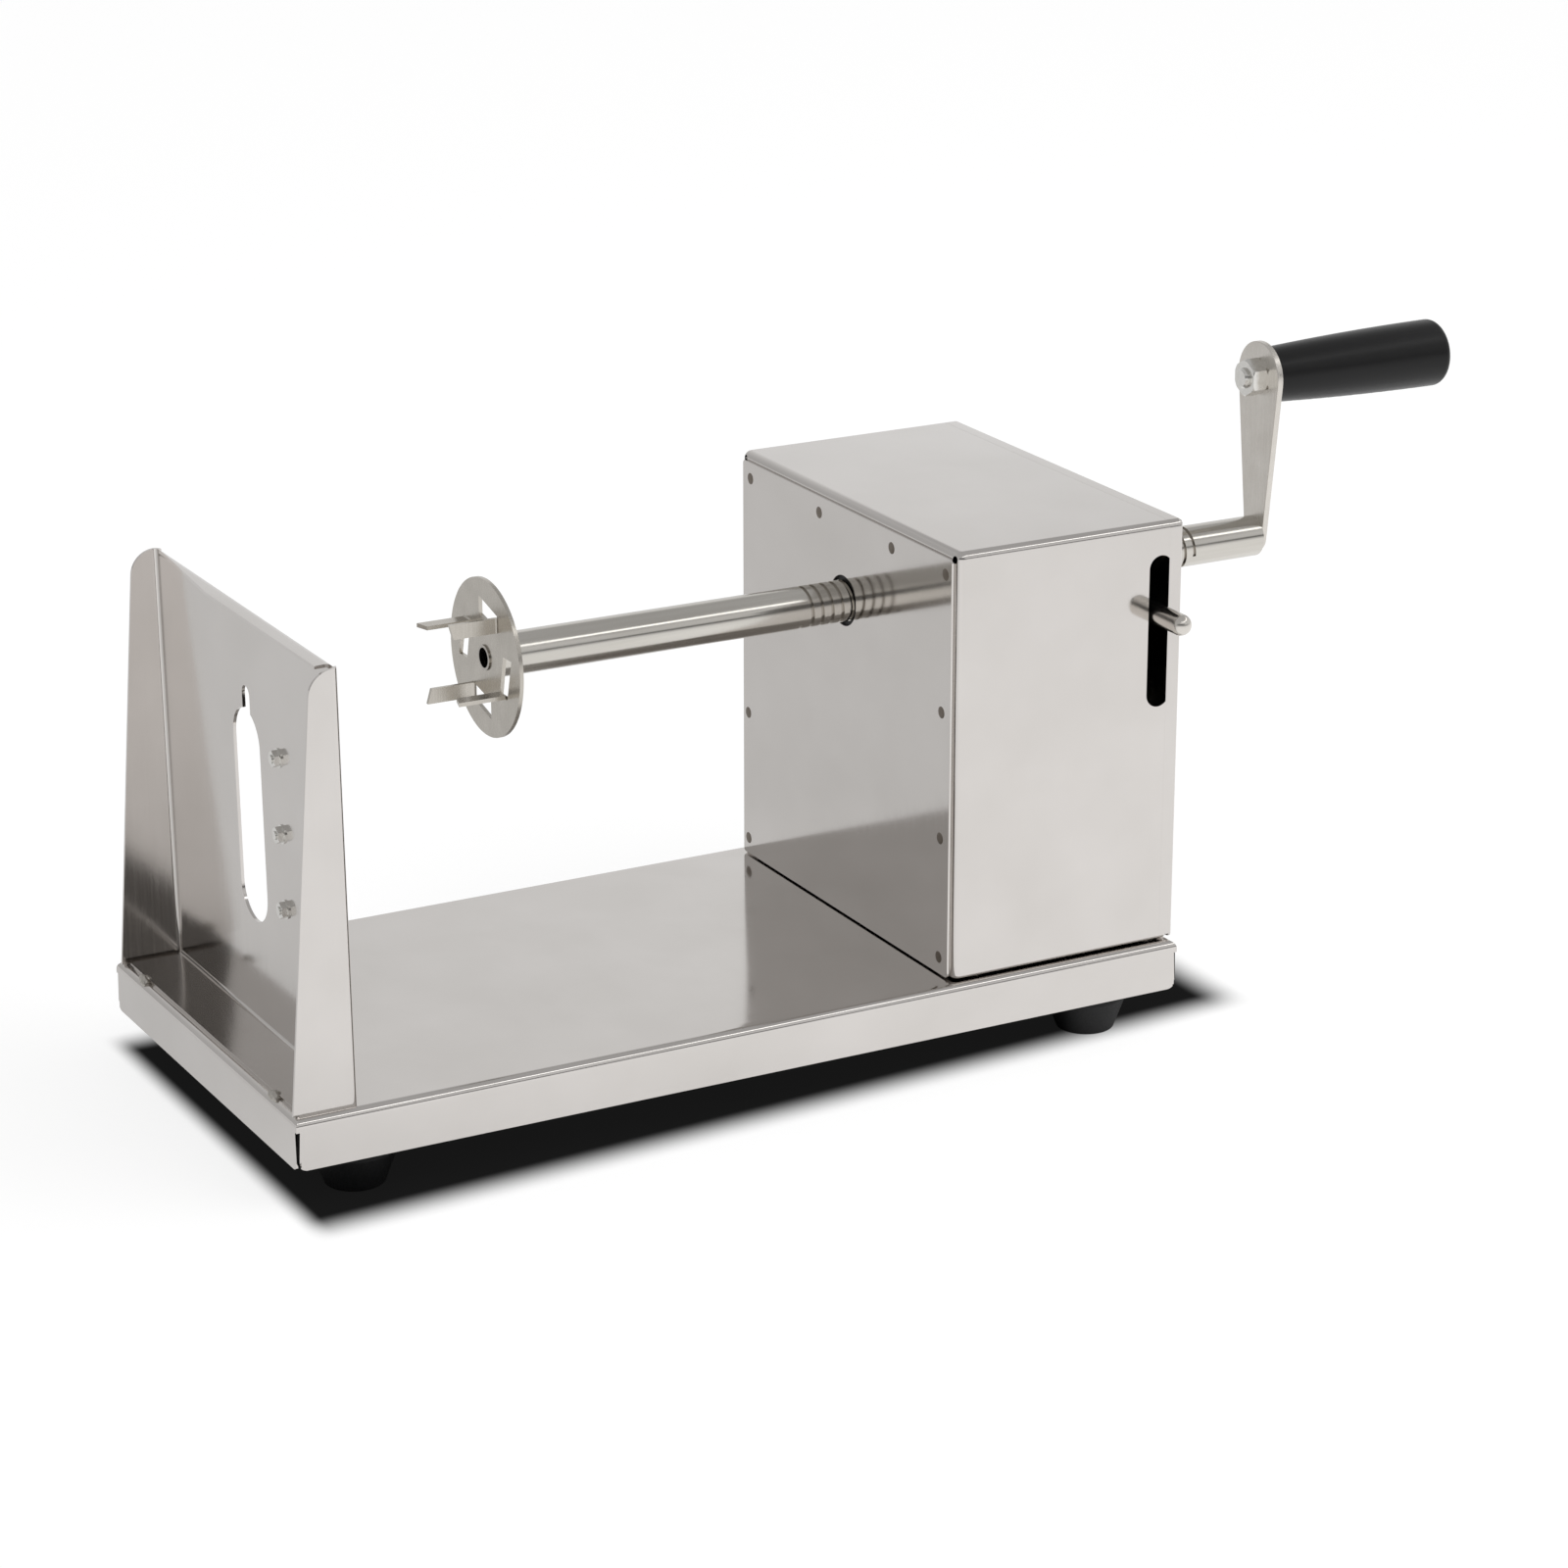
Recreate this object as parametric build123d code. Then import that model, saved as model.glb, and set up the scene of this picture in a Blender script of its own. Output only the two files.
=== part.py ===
from build123d import *
import math
import os

# Hand-cranked tornado potato cutter, in millimetres, one STEP file for each piece.
#
# X runs from the blade stand (left) to the crank (right), Y from the near side, where the lever
# rod sticks out, to the far side, and Z up from the table. Places along X are counted from the
# tray's left end and places along Y from its centre line. The origin is moved to the middle of
# the machine's footprint when the pieces are written.

# Base tray: an upside-down sheet tray with split corners
base_length = 361.0
base_width = 173.0
base_sheet = 1.5
apron_height = 19.0
base_bend_inner = 1.5
apron_corner_radius = 4.0
corner_slit_top = 1.8
corner_slit_bottom = 0.6
deck_height = 35.0

# Rubber feet, each held by a screw in a clinch nut under the tray
foot_top_radius = 15.5
foot_bottom_radius = 10.9
foot_taper_height = 13.0
foot_edge_radius = 1.0
foot_inset_x = 29.0
foot_inset_y = 18.5
foot_recess_radius = 5.8
foot_recess_depth = 8.0
foot_screw_radius = 2.5
foot_screw_head_radius = 4.7
foot_screw_head_height = 3.0
foot_washer_radius = 5.4
foot_washer_height = 1.0
clinch_nut_radius = 5.0
clinch_nut_height = 4.0

# Blade stand: one folded sheet with two side flanges, a rolled top lip and a bottom flange.
# Its plate leans away from the potato by a lean in degrees, and its places are those before that.
stand_plate_x = 24.0
stand_lean = 0.75
stand_width = 165.5
stand_height = 160.0
stand_sheet = 1.2
stand_bend_inner = 1.5
stand_lip_inner = 2.0
stand_lip_reach = 7.3
stand_lip_stub = 1.5
stand_lip_slant = 62.0
stand_lip_relief = 1.2
stand_foot_start_x = 3.0
flange_bottom_x = 0.5
flange_top_x = 14.4
flange_top_drop = 0.8
flange_corner_radius = 9.5
tack_weld_spread = 124.6
tack_weld_height = 2.2
tack_weld_reach = 1.8
tack_weld_half_length = 2.9

# Opening in the stand's plate
slot_width = 24.6
slot_centre_y = 2.5
slot_bottom_above_deck = 40.0
slot_top_above_deck = 120.5
skewer_notch_radius = 3.4
skewer_notch_y = 1.0

# Blade, on spacers on the plate's potato side
blade_sheet = 1.2
blade_back_y = -35.5
blade_edge_y = -2.0
blade_bottom_above_deck = 41.0
blade_top_above_deck = 121.0
blade_bevel_width = 5.0
blade_screw_y = -27.2
blade_screw_middle_above_deck = 82.5
blade_screw_spacing = 28.3
blade_screw_radius = 1.5
blade_screw_head_radius = 3.0
blade_screw_head_height = 1.8
blade_screw_tip = 0.5
blade_nut_flats = 5.5
blade_nut_height = 2.2
blade_washer_radius = 3.5
blade_washer_height = 0.5
blade_spacer_radius = 3.6

# Housing: a folded cover between a front plate and a rear plate
housing_rear_inset = 0.2
housing_length = 97.3
housing_width = 165.5
housing_top_above_deck = 165.2
housing_gap_above_deck = 0.6
housing_sheet = 1.2
housing_bend_inner = 1.8
housing_foot_inner = 0.4
housing_flange = 12.0
front_plate_inset = 3.0
rear_plate_inset = 0.5
plate_corner_radius = 1.5
corner_relief_radius = 1.4
corner_relief_width = 0.8
housing_screw_front_inset = 14.0
housing_screw_rear_inset = 8.0
housing_screw_inset_y = 8.0
housing_screw_radius = 2.0
housing_screw_head_radius = 3.4
housing_screw_head_height = 2.5
housing_screw_tip = 1.0
housing_nut_flats = 7.0
housing_nut_height = 3.2
housing_washer_radius = 4.2

# Lever slot in the housing's near side
lever_rear_inset = 9.3
lever_slot_width = 10.0
lever_slot_bottom_above_deck = 94.0
lever_slot_top_above_deck = 152.6

# Drive tube, its helical groove and the skewer tube inside it
axis_above_deck = 126.0
tube_length = 332.5
tube_radius = 8.0
tube_wall = 1.5
groove_front_plain = 126.0
groove_rear_plain = 32.5
groove_pitch = 4.25
groove_width = 1.4
groove_depth = 0.8
skewer_tube_radius = 4.75
skewer_tube_bore = 3.75
skewer_tube_length = 120.0
skewer_tube_stand_out = 0.6
collar_length = 8.0
collar_end_gap = 4.0

# Prong disc: four tabs cut from the disc and bent forward
disc_radius = 29.5
disc_sheet = 1.5
prong_reach = 18.7
prong_fold = 10.9
prong_inner = 12.1
prong_width = 5.6
prong_tip_slant = 1.6
prong_bend_inner = 0.7
window_far = 4.4
window_inner_far = 15.4
window_outer_far = 22.4
window_outer_near = 18.5

# Bearing cups, each with a captive sleeve
cup_radius = 13.5
cup_length = 11.5
cup_bore = 11.0
cup_lip = 1.5
plate_hole_radius = 9.7

# Lever: an arm across the tube on a pin at the far side, with a tooth in the groove
lever_rod_radius = 4.0
lever_rod_above_axis = 3.6
lever_rod_stand_out = 18.05
lever_rod_inner_y = -24.0
lever_arm_sheet = 4.0
lever_arm_crown = 17.0
lever_arm_crown_half = 12.0
lever_arm_end_height = 11.0
lever_pivot_y = 52.0
lever_pivot_eye_radius = 8.0
lever_saddle_gap = 0.3
lever_skirt = 3.0
tooth_thickness = 0.8
tooth_half_width = 2.0
tooth_reach = 0.65
pin_radius = 2.5
pin_head_radius = 4.2
pin_head_height = 2.0
bracket_sheet = 2.0
bracket_height = 20.0
bracket_reach = 12.0
bracket_ear_gap = 1.4

# Crank
crank_stand_out = 88.2
arm_sheet = 2.5
crank_radius = 64.5
arm_hub_radius = 6.0
arm_end_radius = 13.7
handle_bolt_radius = 4.0
handle_bolt_tip = 1.8
handle_bolt_tip_chamfer = 0.8
handle_bolt_head_flats = 13.0
handle_bolt_head_height = 5.3
handle_nut_flats = 13.0
handle_nut_height = 6.5
handle_washer_radius = 7.6
handle_washer_height = 1.2
grip_length = 81.0
grip_small_radius = 10.7
grip_middle_radius = 12.6
grip_large_radius = 13.25
grip_small_edge = 0.8
grip_large_edge = 2.8
grip_recess_radius = 8.2
grip_recess_depth = 14.0

# Share of a hexagon's corners that is turned off
nut_turning = 0.7

# Clearances
screw_clearance = 0.2
thread_clearance = 0.05
running_clearance = 0.07
seat_clearance = 0.1
turning_gap = 0.4
overrun = 5.0
margin = 1.0

# Levels and places that follow from the sizes above
deck = deck_height
apron_bottom = deck - apron_height
under_deck = deck - base_sheet
base_bend_radius = base_bend_inner + base_sheet
half_base = base_width / 2
axis_z = deck + axis_above_deck
foot_x = (foot_inset_x, base_length - foot_inset_x)
foot_y = (foot_inset_y - half_base, half_base - foot_inset_y)
stand_back_x = stand_plate_x + stand_sheet
stand_bend_radius = stand_bend_inner + stand_sheet
stand_lip_radius = stand_lip_inner + stand_sheet
foot_bend_x = stand_back_x - stand_bend_radius
foot_bend_z = deck + stand_bend_radius
stand_top = deck + stand_height
half_stand = stand_width / 2
slot_bottom = deck + slot_bottom_above_deck
slot_top = deck + slot_top_above_deck
blade_front_x = stand_back_x + groove_pitch
blade_back_x = blade_front_x - blade_sheet
blade_middle_z = deck + blade_screw_middle_above_deck
blade_screw_z = [blade_middle_z + step * blade_screw_spacing for step in (-1, 0, 1)]
blade_nut_x = stand_plate_x - blade_washer_height - blade_nut_height
housing_rear_x = base_length - housing_rear_inset
housing_front_x = housing_rear_x - housing_length
lever_x = housing_rear_x - lever_rear_inset
housing_bottom = deck + housing_gap_above_deck
housing_top = deck + housing_top_above_deck
housing_bend_radius = housing_bend_inner + housing_sheet
housing_foot_radius = housing_foot_inner + housing_sheet
cover_front_x = housing_front_x + housing_sheet
cover_rear_x = housing_rear_x - housing_sheet
half_housing = housing_width / 2
housing_screw_x = (
    housing_front_x + housing_screw_front_inset,
    housing_rear_x - housing_screw_rear_inset,
)
housing_screw_y = (housing_screw_inset_y - half_housing, half_housing - housing_screw_inset_y)
housing_nut_z = housing_bottom + housing_sheet
lever_slot_bottom = deck + lever_slot_bottom_above_deck
lever_slot_top = deck + lever_slot_top_above_deck
arm_front_x = housing_rear_x + crank_stand_out
disc_back_x = arm_front_x - tube_length
disc_x = disc_back_x - disc_sheet
groove_start_x = disc_back_x + groove_front_plain
groove_end_x = arm_front_x - groove_rear_plain
prong_tip_x = disc_x - prong_reach
prong_bend_radius = prong_bend_inner + disc_sheet
tube_bore = tube_radius - tube_wall
skewer_tube_end_x = disc_x + skewer_tube_length
sleeve_length = cup_length - cup_lip - 2 * seat_clearance
arm_back_x = arm_front_x + arm_sheet
crank_pin_z = axis_z + crank_radius
handle_nut_x = arm_front_x - handle_nut_height
grip_start_x = arm_back_x + turning_gap
grip_end_x = grip_start_x + grip_length
grip_seat_x = grip_end_x - grip_recess_depth
lever_rod_z = axis_z + lever_rod_above_axis
lever_tip_y = -half_housing - lever_rod_stand_out
lever_arm_front_x = lever_x - lever_arm_sheet / 2
lever_arm_back_x = lever_x + lever_arm_sheet / 2
saddle_radius = tube_radius + lever_saddle_gap
bracket_ear_x = lever_arm_front_x - bracket_ear_gap - bracket_sheet
bracket_web_y = lever_pivot_y + bracket_reach

# The origin is at the middle of the machine's footprint, on the table
origin_x = max(base_length, grip_end_x) / 2
origin_y = (min(-half_base, lever_tip_y) + half_base) / 2


def block(x0, x1, y0, y1, z0, z1):
    """A box between two corners, given in any order."""
    middle = Pos((x0 + x1) / 2, (y0 + y1) / 2, (z0 + z1) / 2)
    return middle * Box(abs(x1 - x0), abs(y1 - y0), abs(z1 - z0))


def bar_x(radius, x0, x1, y=0.0, z=axis_z):
    """A round bar along X, on the drive tube's axis unless told otherwise."""
    return Pos((x0 + x1) / 2, y, z) * Rot(0, 90, 0) * Cylinder(radius, abs(x1 - x0))


def bar_y(radius, x, y0, y1, z):
    """A round bar along Y."""
    return Pos(x, (y0 + y1) / 2, z) * Rot(90, 0, 0) * Cylinder(radius, abs(y1 - y0))


def bar_z(radius, x, y, z0, z1):
    """A round bar along Z."""
    return Pos(x, y, (z0 + z1) / 2) * Cylinder(radius, abs(z1 - z0))


def ring_x(radius, bore, x0, x1, y=0.0, z=axis_z):
    """A tube, washer or spacer along X."""
    return bar_x(radius, x0, x1, y, z) - bar_x(bore, x0 - overrun, x1 + overrun, y, z)


def ring_z(radius, bore, x, y, z0, z1):
    """A washer or spacer along Z."""
    return bar_z(radius, x, y, z0, z1) - bar_z(bore, x, y, z0 - overrun, z1 + overrun)


def hexagon_x(flats, x0, x1, y, z):
    """A hexagonal bar along X, its corners turned off at both ends, two of them up and down."""
    corner = flats / math.sqrt(3)
    turned = bar_x(corner, x0, x1, 0, 0)
    turned = chamfer(turned.edges().filter_by(GeomType.CIRCLE), (corner - flats / 2) * nut_turning)
    hexagon = Pos(x0, 0, 0) * Rot(0, 90, 0) * extrude(RegularPolygon(corner, 6), x1 - x0)
    return Pos(0, y, z) * (turned & hexagon)


def pan_head(radius, height):
    """A pan head standing up on the origin, with a rounded rim and a cross recess."""
    head = Pos(0, 0, height / 2) * Cylinder(radius, height)
    head = fillet(head.edges().filter_by(GeomType.CIRCLE).sort_by(Axis.Z)[-1], height / 2)
    arm = Box(radius, radius / 5, height)
    return head - Pos(0, 0, height) * (arm + Rot(0, 0, 90) * arm)


def prism_xz(points, y0, y1):
    """A prism from y0 to y1, with its outline in the XZ plane."""
    outline = make_face(Plane.XZ * Polyline(points, close=True))
    return Pos(0, y0, 0) * extrude(outline, y1 - y0, dir=(0, 1, 0))


def prism_yz(points, x0, x1):
    """A prism from x0 to x1, with its outline in the YZ plane."""
    outline = make_face(Plane.YZ * Polyline(points, close=True))
    return Pos(x0, 0, 0) * extrude(outline, x1 - x0, dir=(1, 0, 0))


def group(pieces):
    """Separate like pieces that share one node."""
    return Compound([solid for piece in pieces for solid in piece.solids()])


def corners(xs, ys):
    """Every pair of one place from each list."""
    return [(x, y) for x in xs for y in ys]


def lidded_box(x0, x1, y0, y1, z0, z1, radius):
    """A box with rounded bends around its top only."""
    solid = block(x0, x1, y0, y1, z0, z1)
    return fillet(solid.edges().group_by(Axis.Z)[-1], radius)


def bent_box(x0, x1, y0, y1, z0, z1, radius, foot_radius):
    """A box with rounded bends all over, those around its bottom with a radius of their own."""
    solid = block(x0, x1, y0, y1, z0, z1)
    bends = solid.edges()
    solid = fillet(bends.group_by(Axis.Z)[-1] + bends.filter_by(Axis.Z), radius)
    return fillet(solid.edges().group_by(Axis.Z)[0], foot_radius)


def leaned(piece):
    """Leans a piece with the stand's plate, about the bend above its bottom flange."""
    there = Pos(foot_bend_x, 0, foot_bend_z) * Rot(0, -stand_lean, 0)
    return there * Pos(-foot_bend_x, 0, -foot_bend_z) * piece


def base_tray():
    """The tray: open below, rounded along its top, split at each corner, with screw holes."""
    sheet = base_sheet
    tray = lidded_box(
        0, base_length, -half_base, half_base, apron_bottom, deck, base_bend_radius
    )
    tray -= lidded_box(
        sheet, base_length - sheet, sheet - half_base, half_base - sheet,
        apron_bottom - overrun, under_deck, base_bend_inner,
    )
    slit_top = deck - base_bend_radius - sheet
    slit_bottom = apron_bottom - overrun
    slit = prism_xz(
        [
            (-corner_slit_top / 2, slit_top),
            (corner_slit_top / 2, slit_top),
            (corner_slit_bottom / 2, slit_bottom),
            (-corner_slit_bottom / 2, slit_bottom),
        ],
        -2 * base_bend_radius, 2 * base_bend_radius,
    )
    for side_x, side_y in corners((-1, 1), (-1, 1)):
        corner_x = base_length / 2 * (1 + side_x)
        corner_y = half_base * side_y
        turn = math.degrees(math.atan2(-side_x, side_y))
        tray -= Pos(corner_x, corner_y, 0) * Rot(0, 0, turn) * slit
        tray -= apron_notches(corner_x, corner_y, side_x, side_y)
    for x, y in corners(housing_screw_x, housing_screw_y):
        tray -= bar_z(housing_screw_radius + screw_clearance, x, y, under_deck - margin, deck + margin)
    return tray


def apron_notches(corner_x, corner_y, side_x, side_y):
    """What the rounded lower corners of two aprons leave out where they meet."""
    radius = apron_corner_radius
    centre_z = apron_bottom + radius
    low = apron_bottom - margin
    outside_x = corner_x + side_x
    outside_y = corner_y + side_y
    centre_x = corner_x - side_x * radius
    centre_y = corner_y - side_y * radius
    inside_x = corner_x - side_x * base_sheet
    inside_y = corner_y - side_y * base_sheet
    long_apron = block(centre_x, outside_x, inside_y, outside_y, low, centre_z)
    long_apron -= bar_y(radius, centre_x, inside_y - overrun, outside_y + overrun, centre_z)
    end_apron = block(inside_x, outside_x, centre_y, outside_y, low, centre_z)
    end_apron -= bar_x(radius, inside_x - overrun, outside_x + overrun, centre_y, centre_z)
    return long_apron + end_apron


def foot(x, y):
    """A tapered rubber foot with a recess for its screw below and its nut above."""
    cone = Pos(x, y, foot_taper_height / 2) * Cone(
        foot_bottom_radius, foot_top_radius, foot_taper_height
    )
    cone = fillet(cone.edges().filter_by(GeomType.CIRCLE).sort_by(Axis.Z)[0], foot_edge_radius)
    body = cone + bar_z(foot_top_radius, x, y, foot_taper_height, under_deck)
    body -= bar_z(foot_recess_radius, x, y, -margin, foot_recess_depth)
    body -= bar_z(foot_screw_radius + screw_clearance, x, y, 0, under_deck + margin)
    nut_room = clinch_nut_radius + screw_clearance
    body -= bar_z(nut_room, x, y, under_deck - clinch_nut_height - screw_clearance, under_deck + margin)
    return body


def foot_washer(x, y):
    """The steel washer under a foot's screw head."""
    bore = foot_screw_radius + screw_clearance
    top = foot_recess_depth
    return ring_z(foot_washer_radius, bore, x, y, top - foot_washer_height, top)


def foot_screw(x, y):
    """A pan head screw up through a foot into its clinch nut."""
    seat = foot_recess_depth - foot_washer_height
    head = pan_head(foot_screw_head_radius, foot_screw_head_height)
    return Pos(x, y, seat) * Rot(180, 0, 0) * head + bar_z(foot_screw_radius, x, y, seat, under_deck)


def clinch_nut(x, y):
    """A round nut pressed into the underside of the tray's deck."""
    bore = foot_screw_radius + thread_clearance
    return ring_z(clinch_nut_radius, bore, x, y, under_deck - clinch_nut_height, under_deck)


def stand():
    """The folded sheet that carries the blade."""
    sheet = stand_sheet
    side = half_stand - stand_bend_radius
    lip_end = stand_back_x - stand_lip_reach
    lip_bend_x = stand_back_x - stand_lip_radius
    lip_bend_z = stand_top - stand_lip_radius
    low = deck - margin
    high = stand_top + margin

    web = block(stand_plate_x, stand_back_x, -side, side, foot_bend_z, lip_bend_z)
    web += block(lip_end, lip_bend_x, -side, side, stand_top - sheet, stand_top)
    lip_bend = bar_y(stand_lip_radius, lip_bend_x, -side, side, lip_bend_z)
    lip_bend -= bar_y(stand_lip_inner, lip_bend_x, -side - margin, side + margin, lip_bend_z)
    web += lip_bend & block(lip_bend_x, stand_back_x, -side, side, lip_bend_z, stand_top)

    sides = block(-overrun, stand_back_x, -half_stand, half_stand, low, stand_top)
    sides = fillet(sides.edges().filter_by(Axis.Z).group_by(Axis.X)[-1], stand_bend_radius)
    hollow = block(-2 * overrun, stand_plate_x, sheet - half_stand, half_stand - sheet, low - margin, high)
    hollow = fillet(hollow.edges().filter_by(Axis.Z).group_by(Axis.X)[-1], stand_bend_inner)
    sides -= hollow
    sides -= block(-2 * overrun, stand_back_x + margin, -side, side, low - margin, high)
    sides &= flange_outline()

    upright = web + sides
    for end in (-1, 1):
        inner = end * (side - stand_lip_relief)
        upright -= block(-margin, stand_back_x + margin, inner, end * side, lip_bend_z, high)
    upright -= lip_taper(lip_end, side, lip_bend_z)
    upright -= stand_slot()
    for z in blade_screw_z:
        bore = blade_screw_radius + screw_clearance
        upright -= bar_x(bore, stand_plate_x - margin, stand_back_x + margin, blade_screw_y, z)
    folded = leaned(upright)
    folded -= block(
        -2 * overrun, stand_back_x + overrun, -half_stand - margin, half_stand + margin,
        deck - overrun, deck,
    )

    quarter = block(foot_bend_x, stand_back_x + margin, -side, side, low, foot_bend_z)
    foot_bend = bar_y(stand_bend_radius, foot_bend_x, -side, side, foot_bend_z)
    foot_bend -= bar_y(stand_bend_inner, foot_bend_x, -side - margin, side + margin, foot_bend_z)
    folded += foot_bend & (quarter + leaned(quarter))
    folded += block(stand_foot_start_x, foot_bend_x, -side, side, deck, deck + sheet)
    for end in (-1, 1):
        inner = end * (side - stand_lip_relief)
        folded -= block(-margin, foot_bend_x, inner, end * side, low, foot_bend_z)
    return folded


def lip_taper(lip_end, side, bottom):
    """What is cut from the lip's free edge, which slants back towards the far end."""
    outside = lip_end - overrun
    slant_start = side - stand_lip_slant
    outline = Polyline(
        (outside, slant_start), (lip_end, slant_start), (stand_back_x - stand_lip_stub, side),
        (outside, side),
        close=True,
    )
    return Pos(0, 0, bottom) * extrude(make_face(outline), stand_lip_radius + margin, dir=(0, 0, 1))


def flange_outline():
    """The side view of the stand's flanges: a slanting free edge with a round top corner."""
    rear = stand_back_x + margin
    top = stand_top - flange_top_drop
    edge = Polyline(
        (flange_bottom_x, deck - margin), (rear, deck - margin), (rear, top), (flange_top_x, top),
        close=True,
    )
    side_view = make_face(Plane.XZ * edge)
    top_corner = side_view.vertices().sort_by(Axis.Z)[2:].sort_by(Axis.X)[0]
    side_view = fillet(top_corner, min(flange_corner_radius, stand_plate_x - flange_top_x))
    return Pos(0, -half_stand - margin, 0) * extrude(side_view, stand_width + 2 * margin, dir=(0, 1, 0))


def stand_slot():
    """The opening in the stand's plate: a long slot and the notch that the skewer passes."""
    x0 = stand_plate_x - margin
    x1 = stand_back_x + margin
    radius = slot_width / 2
    low = slot_bottom + radius
    high = slot_top - radius
    slot = block(x0, x1, slot_centre_y - radius, slot_centre_y + radius, low, high)
    slot += bar_x(radius, x0, x1, slot_centre_y, low)
    slot += bar_x(radius, x0, x1, slot_centre_y, high)
    notch = skewer_notch_radius
    slot += block(x0, x1, skewer_notch_y - notch, skewer_notch_y + notch, high, axis_z)
    return slot + bar_x(notch, x0, x1, skewer_notch_y)


def tack_weld(y):
    """A small weld bead between the stand's bottom flange and the tray."""
    shape = (tack_weld_reach, tack_weld_half_length, tack_weld_height)
    bead = Pos(stand_foot_start_x, y, deck) * scale(Sphere(1), shape)
    edge = stand_foot_start_x
    bead -= block(-overrun, edge + overrun, y - overrun, y + overrun, deck - overrun, deck)
    return bead - block(edge, edge + overrun, y - overrun, y + overrun, deck, deck + stand_sheet)


def blade():
    """A flat blade, bevelled on its plate side, with its edge near the tube's axis."""
    outline = Polyline(
        (blade_back_x, blade_back_y),
        (blade_front_x, blade_back_y),
        (blade_front_x, blade_edge_y),
        (blade_back_x, blade_edge_y - blade_bevel_width),
        close=True,
    )
    height = blade_top_above_deck - blade_bottom_above_deck
    strip = extrude(make_face(outline), height, dir=(0, 0, 1))
    strip = Pos(0, 0, deck + blade_bottom_above_deck) * strip
    for z in blade_screw_z:
        bore = blade_screw_radius + screw_clearance
        strip -= bar_x(bore, blade_back_x - margin, blade_front_x + margin, blade_screw_y, z)
    return strip


def blade_spacer(z):
    """A spacer that holds the blade off the plate by the slice's thickness."""
    bore = blade_screw_radius + screw_clearance
    return ring_x(blade_spacer_radius, bore, stand_back_x, blade_back_x, blade_screw_y, z)


def blade_screw(z):
    """A screw through blade, spacer and plate, with its head on the potato side."""
    head = pan_head(blade_screw_head_radius, blade_screw_head_height)
    head = Pos(blade_front_x, blade_screw_y, z) * Rot(0, 90, 0) * head
    tip = blade_nut_x - blade_screw_tip
    return head + bar_x(blade_screw_radius, tip, blade_front_x, blade_screw_y, z)


def blade_washer(z):
    """The washer between a blade nut and the plate."""
    bore = blade_screw_radius + screw_clearance
    front = stand_plate_x - blade_washer_height
    return ring_x(blade_washer_radius, bore, front, stand_plate_x, blade_screw_y, z)


def blade_nut(z):
    """A hexagon nut on the plate's outer side."""
    end = blade_nut_x + blade_nut_height
    nut = hexagon_x(blade_nut_flats, blade_nut_x, end, blade_screw_y, z)
    bore = blade_screw_radius + thread_clearance
    return nut - bar_x(bore, blade_nut_x - margin, end + margin, blade_screw_y, z)


def housing_cover():
    """Top and sides folded from one sheet, with flanges turned in all round."""
    sheet = housing_sheet
    cover = bent_box(
        cover_front_x, cover_rear_x, -half_housing, half_housing, housing_bottom, housing_top,
        housing_bend_radius, housing_foot_radius,
    )
    cover -= bent_box(
        cover_front_x + sheet, cover_rear_x - sheet, sheet - half_housing, half_housing - sheet,
        housing_bottom + sheet, housing_top - sheet,
        housing_bend_inner, housing_foot_inner,
    )
    inner_y = half_housing - housing_flange
    inner_z = housing_top - housing_flange
    ends = (cover_front_x - margin, cover_rear_x + margin)
    cover -= block(*ends, -inner_y, inner_y, housing_bottom - margin, inner_z)
    for side in (-1, 1):
        cover -= corner_relief(side)
    for x, y in corners(housing_screw_x, housing_screw_y):
        bore = housing_screw_radius + screw_clearance
        cover -= bar_z(bore, x, y, housing_bottom - margin, housing_nut_z + margin)
    return cover - lever_slot()


def corner_relief(side):
    """The round relief and the mitre gap where top and side flanges meet at one edge."""
    ends = (cover_front_x - margin, cover_rear_x + margin)
    reach = housing_flange * math.sqrt(2)
    mitre = Box(cover_rear_x - cover_front_x + 2 * margin, reach, corner_relief_width)
    middle_x = (cover_front_x + cover_rear_x) / 2
    mitre = Pos(middle_x, -side * reach / 2, 0) * mitre
    depth = housing_bend_radius
    relief = bar_x(corner_relief_radius, *ends, side * (half_housing - depth), housing_top - depth)
    corner = Pos(0, side * (half_housing - depth), housing_top - depth)
    relief += corner * Rot(side * 45, 0, 0) * mitre
    inside = block(
        cover_front_x + housing_bend_radius, cover_rear_x - housing_bend_radius,
        -half_housing, half_housing, deck, housing_top + margin,
    )
    return relief - inside


def lever_slot():
    """The upright slot in the near side that the lever rod moves in."""
    radius = lever_slot_width / 2
    y0 = -half_housing - margin
    y1 = housing_sheet - half_housing + margin
    low = lever_slot_bottom + radius
    high = lever_slot_top - radius
    slot = block(lever_x - radius, lever_x + radius, y0, y1, low, high)
    return slot + bar_y(radius, lever_x, y0, y1, low) + bar_y(radius, lever_x, y0, y1, high)


def housing_plate(x0, inset):
    """A flat end plate with a hole for the tube, a little smaller than the cover's outline."""
    half = half_housing - inset
    plate = block(x0, x0 + housing_sheet, -half, half, housing_bottom, housing_top - inset)
    plate = fillet(plate.edges().filter_by(Axis.X), plate_corner_radius)
    return plate - bar_x(plate_hole_radius, x0 - margin, x0 + housing_sheet + margin)


def housing_washer(x, y):
    """The washer that holds the housing a little above the deck."""
    bore = housing_screw_radius + screw_clearance
    return ring_z(housing_washer_radius, bore, x, y, deck, housing_bottom)


def housing_screw(x, y):
    """A screw up through the deck and the cover's bottom flange."""
    head = pan_head(housing_screw_head_radius, housing_screw_head_height)
    tip = housing_nut_z + housing_nut_height + housing_screw_tip
    shank = bar_z(housing_screw_radius, x, y, under_deck, tip)
    return Pos(x, y, under_deck) * Rot(180, 0, 0) * head + shank


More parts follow.
